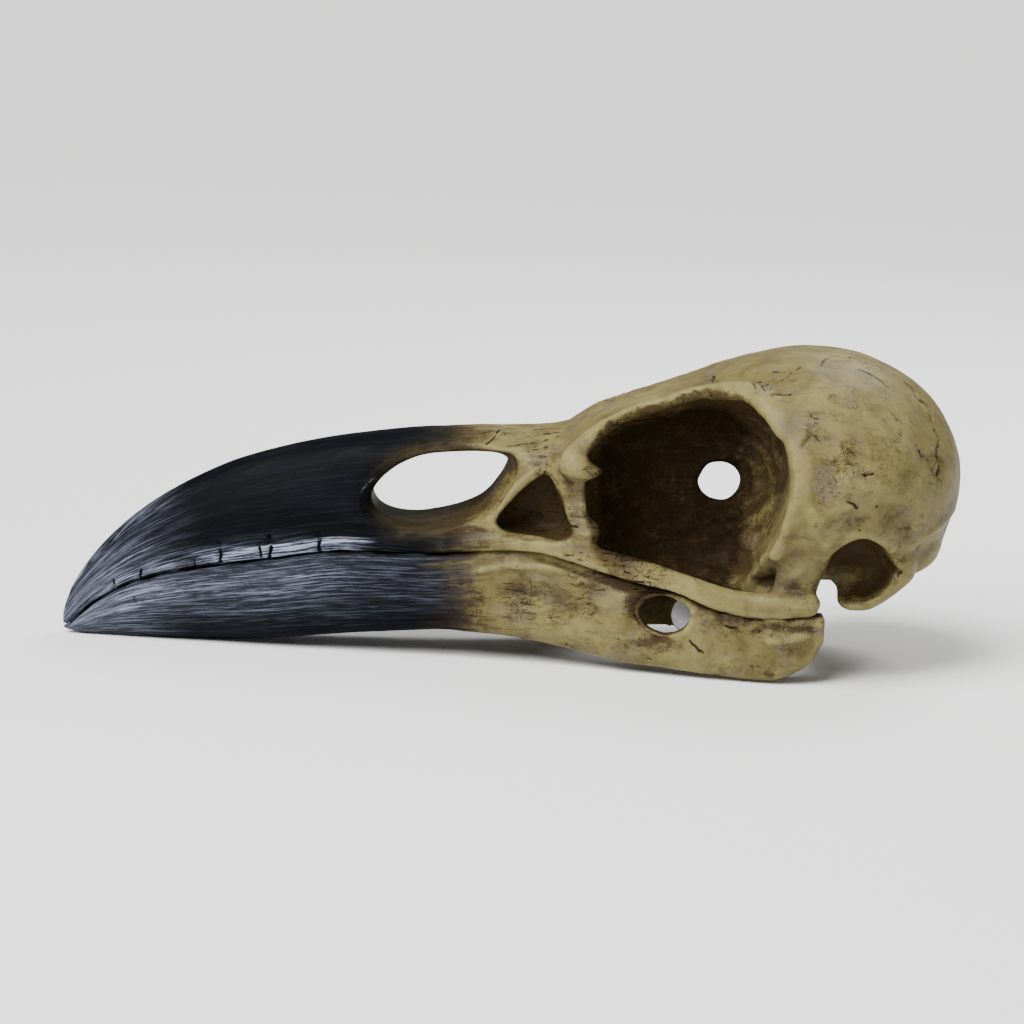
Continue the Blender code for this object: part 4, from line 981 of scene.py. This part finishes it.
# where the wash lies thick: (x, z, reach along x, reach along z, strength)
skullStains = [
    (80, 54, 15, 5.5, 0.3), (76.4, 55.4, 3.2, 3.2, 0.75), (88.5, 37.5, 4.5, 7, 0.45), (14, 38, 3.6, 8, 0.55),
    (97, 50, 3, 7, 0.4), (13, 31, 5, 3, 0.5), (5, 47.5, 7, 4, 0.35), (20, 27.5, 4, 1.5, 0.4),
    (76, 39, 6, 2.5, 0.3), (45, 68, 4, 2, 0.4), (67, 60, 3, 5, 0.35), (-9, 28.5, 8, 3, 0.5),
    (67, 22, 4, 3, 0.4)
]
# hollows darkened with brown wash and painted shade: opening, where its shade starts and is full, level of
# its floor, how stained, how dark, and how much lighter its back is, which is painted light
dens = [
    ("orbit", -0.5, 4.5, 24, 1, 1, 0.85), ("ear", -0.5, 3, 27, 0.48, 0.05, 0),
    ("facePit", -0.5, 3.5, 16, 0.7, 0.15, 0), ("nostril", -1.2, 0.6, 18, 0.8, 0.3, 0),
    ("jawWindow", -1.5, 0.6, 24, 0.8, 0.4, 0)
]
jawStains = [
    (8, 15.5, 15, 6.5, 0.45), (20, 20.5, 11, 2.5, 0.6), (31.5, 16, 5, 4.5, 0.7), (52, 13, 9, 3.2, 0.5),
    (35, 7, 6, 2.5, 0.55), (66, 13.5, 6, 1.8, 0.8), (-10, 13, 9, 9, 0.45), (60, 4, 8, 3, 0.3)
]

upper = skullBody()
print("skull shaped:", len(upper.data.vertices), "points")
skullLines = workSkull(upper)
thinnedTo(upper, skull["triangles"])
lower = jawBody()
print("jaw shaped:", len(lower.data.vertices), "points")
jawLines = workJaw(lower)
thinnedTo(lower, jaw["triangles"])
trees = [surfaceTree(upper), surfaceTree(lower)]
readForPaint(upper, skullLines, trees, skullStains)
readForPaint(lower, jawLines, trees[::-1], jawStains)
print("casts worked and read for the paint")

for piece, below in ((upper, False), (lower, True)):
    piece.data.materials.clear()
    piece.data.materials.append(castPaint(piece.name + "Paint", below))
    piece.data.shade_smooth()
    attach(piece, "root")
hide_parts("bill_upper", "nasal_bridge", "maxilla", "face", "forehead", "septum", "palate",
            "braincase", "cheek_bar_left", "cheek_bar_right", "quadrate_left", "quadrate_right")
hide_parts("bill_lower", "jaw_left", "jaw_right")
bumper = clearPad()
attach(bumper, "root")
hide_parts("clear_pad")
print("pieces painted")


studio = {
    "floorReach": 4000,
    "floorColour": (0.88, 0.88, 0.87),
    "world": 0.36,
    "sun": ((-340, -360, 900), 34, 5),  # where from, how many degrees wide, power
    "lamps": {                # place, size and power of each softbox, aimed at the skull
        "key": ((-330, -560, 520), 300, 4.5),
        "rim": ((260, 420, 560), 360, 3),
    },
    "aim": (0.48, -0.1, 32.46),
    "elevation": 10.3,
    "roll": 2.1,
    "distance": 950,
    "perPixel": 0.2356,       # millimetres at the aim
    "picture": 1024,          # pixels across
    "sensor": 36,
}


def layFloor():
    form = bmesh.new()
    bmesh.ops.create_grid(form, x_segments=4, y_segments=4, size=studio["floorReach"] * mm)
    bmesh.ops.translate(form, verts=form.verts, vec=(0, 0, cadBox[0][2]))
    floor = meshObject("floor", form)
    paint = Paint("paleFloor").finish({"Base Color": studio["floorColour"], "Roughness": 0.7})
    floor.data.materials.append(paint)


def hangLamp(name, lamp, place, power):
    lamp.energy = power
    holder = bpy.data.objects.new(name, lamp)
    holder.location = Vector(place) * mm
    holder.rotation_euler = (Vector(studio["aim"]) - Vector(place)).to_track_quat("-Z", "Y").to_euler()
    bpy.context.scene.collection.objects.link(holder)


def lightScene():
    world = bpy.data.worlds.new("studio")
    world.use_nodes = True
    sky = world.node_tree.nodes["Background"]
    sky.inputs["Color"].default_value = (1, 1, 1, 1)
    sky.inputs["Strength"].default_value = studio["world"]
    bpy.context.scene.world = world
    place, width, power = studio["sun"]
    sun = bpy.data.lights.new("sun", "SUN")
    sun.angle = math.radians(width)
    hangLamp("sun", sun, place, power)
    for name, (place, size, power) in studio["lamps"].items():
        lamp = bpy.data.lights.new(name, "AREA")
        lamp.shape = "DISK"
        lamp.size = size * mm
        hangLamp(name, lamp, place, power)


def setCamera():
    tilt, roll = math.radians(studio["elevation"]), math.radians(studio["roll"])
    ahead = Vector((0, math.cos(tilt), -math.sin(tilt)))
    right = Vector((1, 0, 0))
    up = right.cross(ahead)
    across = right * math.cos(roll) + up * math.sin(roll)
    upright = up * math.cos(roll) - right * math.sin(roll)
    camera = bpy.data.cameras.new("camera")
    camera.sensor_width = studio["sensor"]
    camera.lens = studio["distance"] / studio["perPixel"] * studio["sensor"] / studio["picture"]
    camera.clip_end = 20
    holder = bpy.data.objects.new("camera", camera)
    place = (Vector(studio["aim"]) - ahead * studio["distance"]) * mm
    turn = Matrix((across, upright, -ahead)).transposed().to_4x4()
    holder.matrix_world = Matrix.Translation(place) @ turn
    bpy.context.scene.collection.objects.link(holder)
    bpy.context.scene.camera = holder


layFloor()
lightScene()
setCamera()
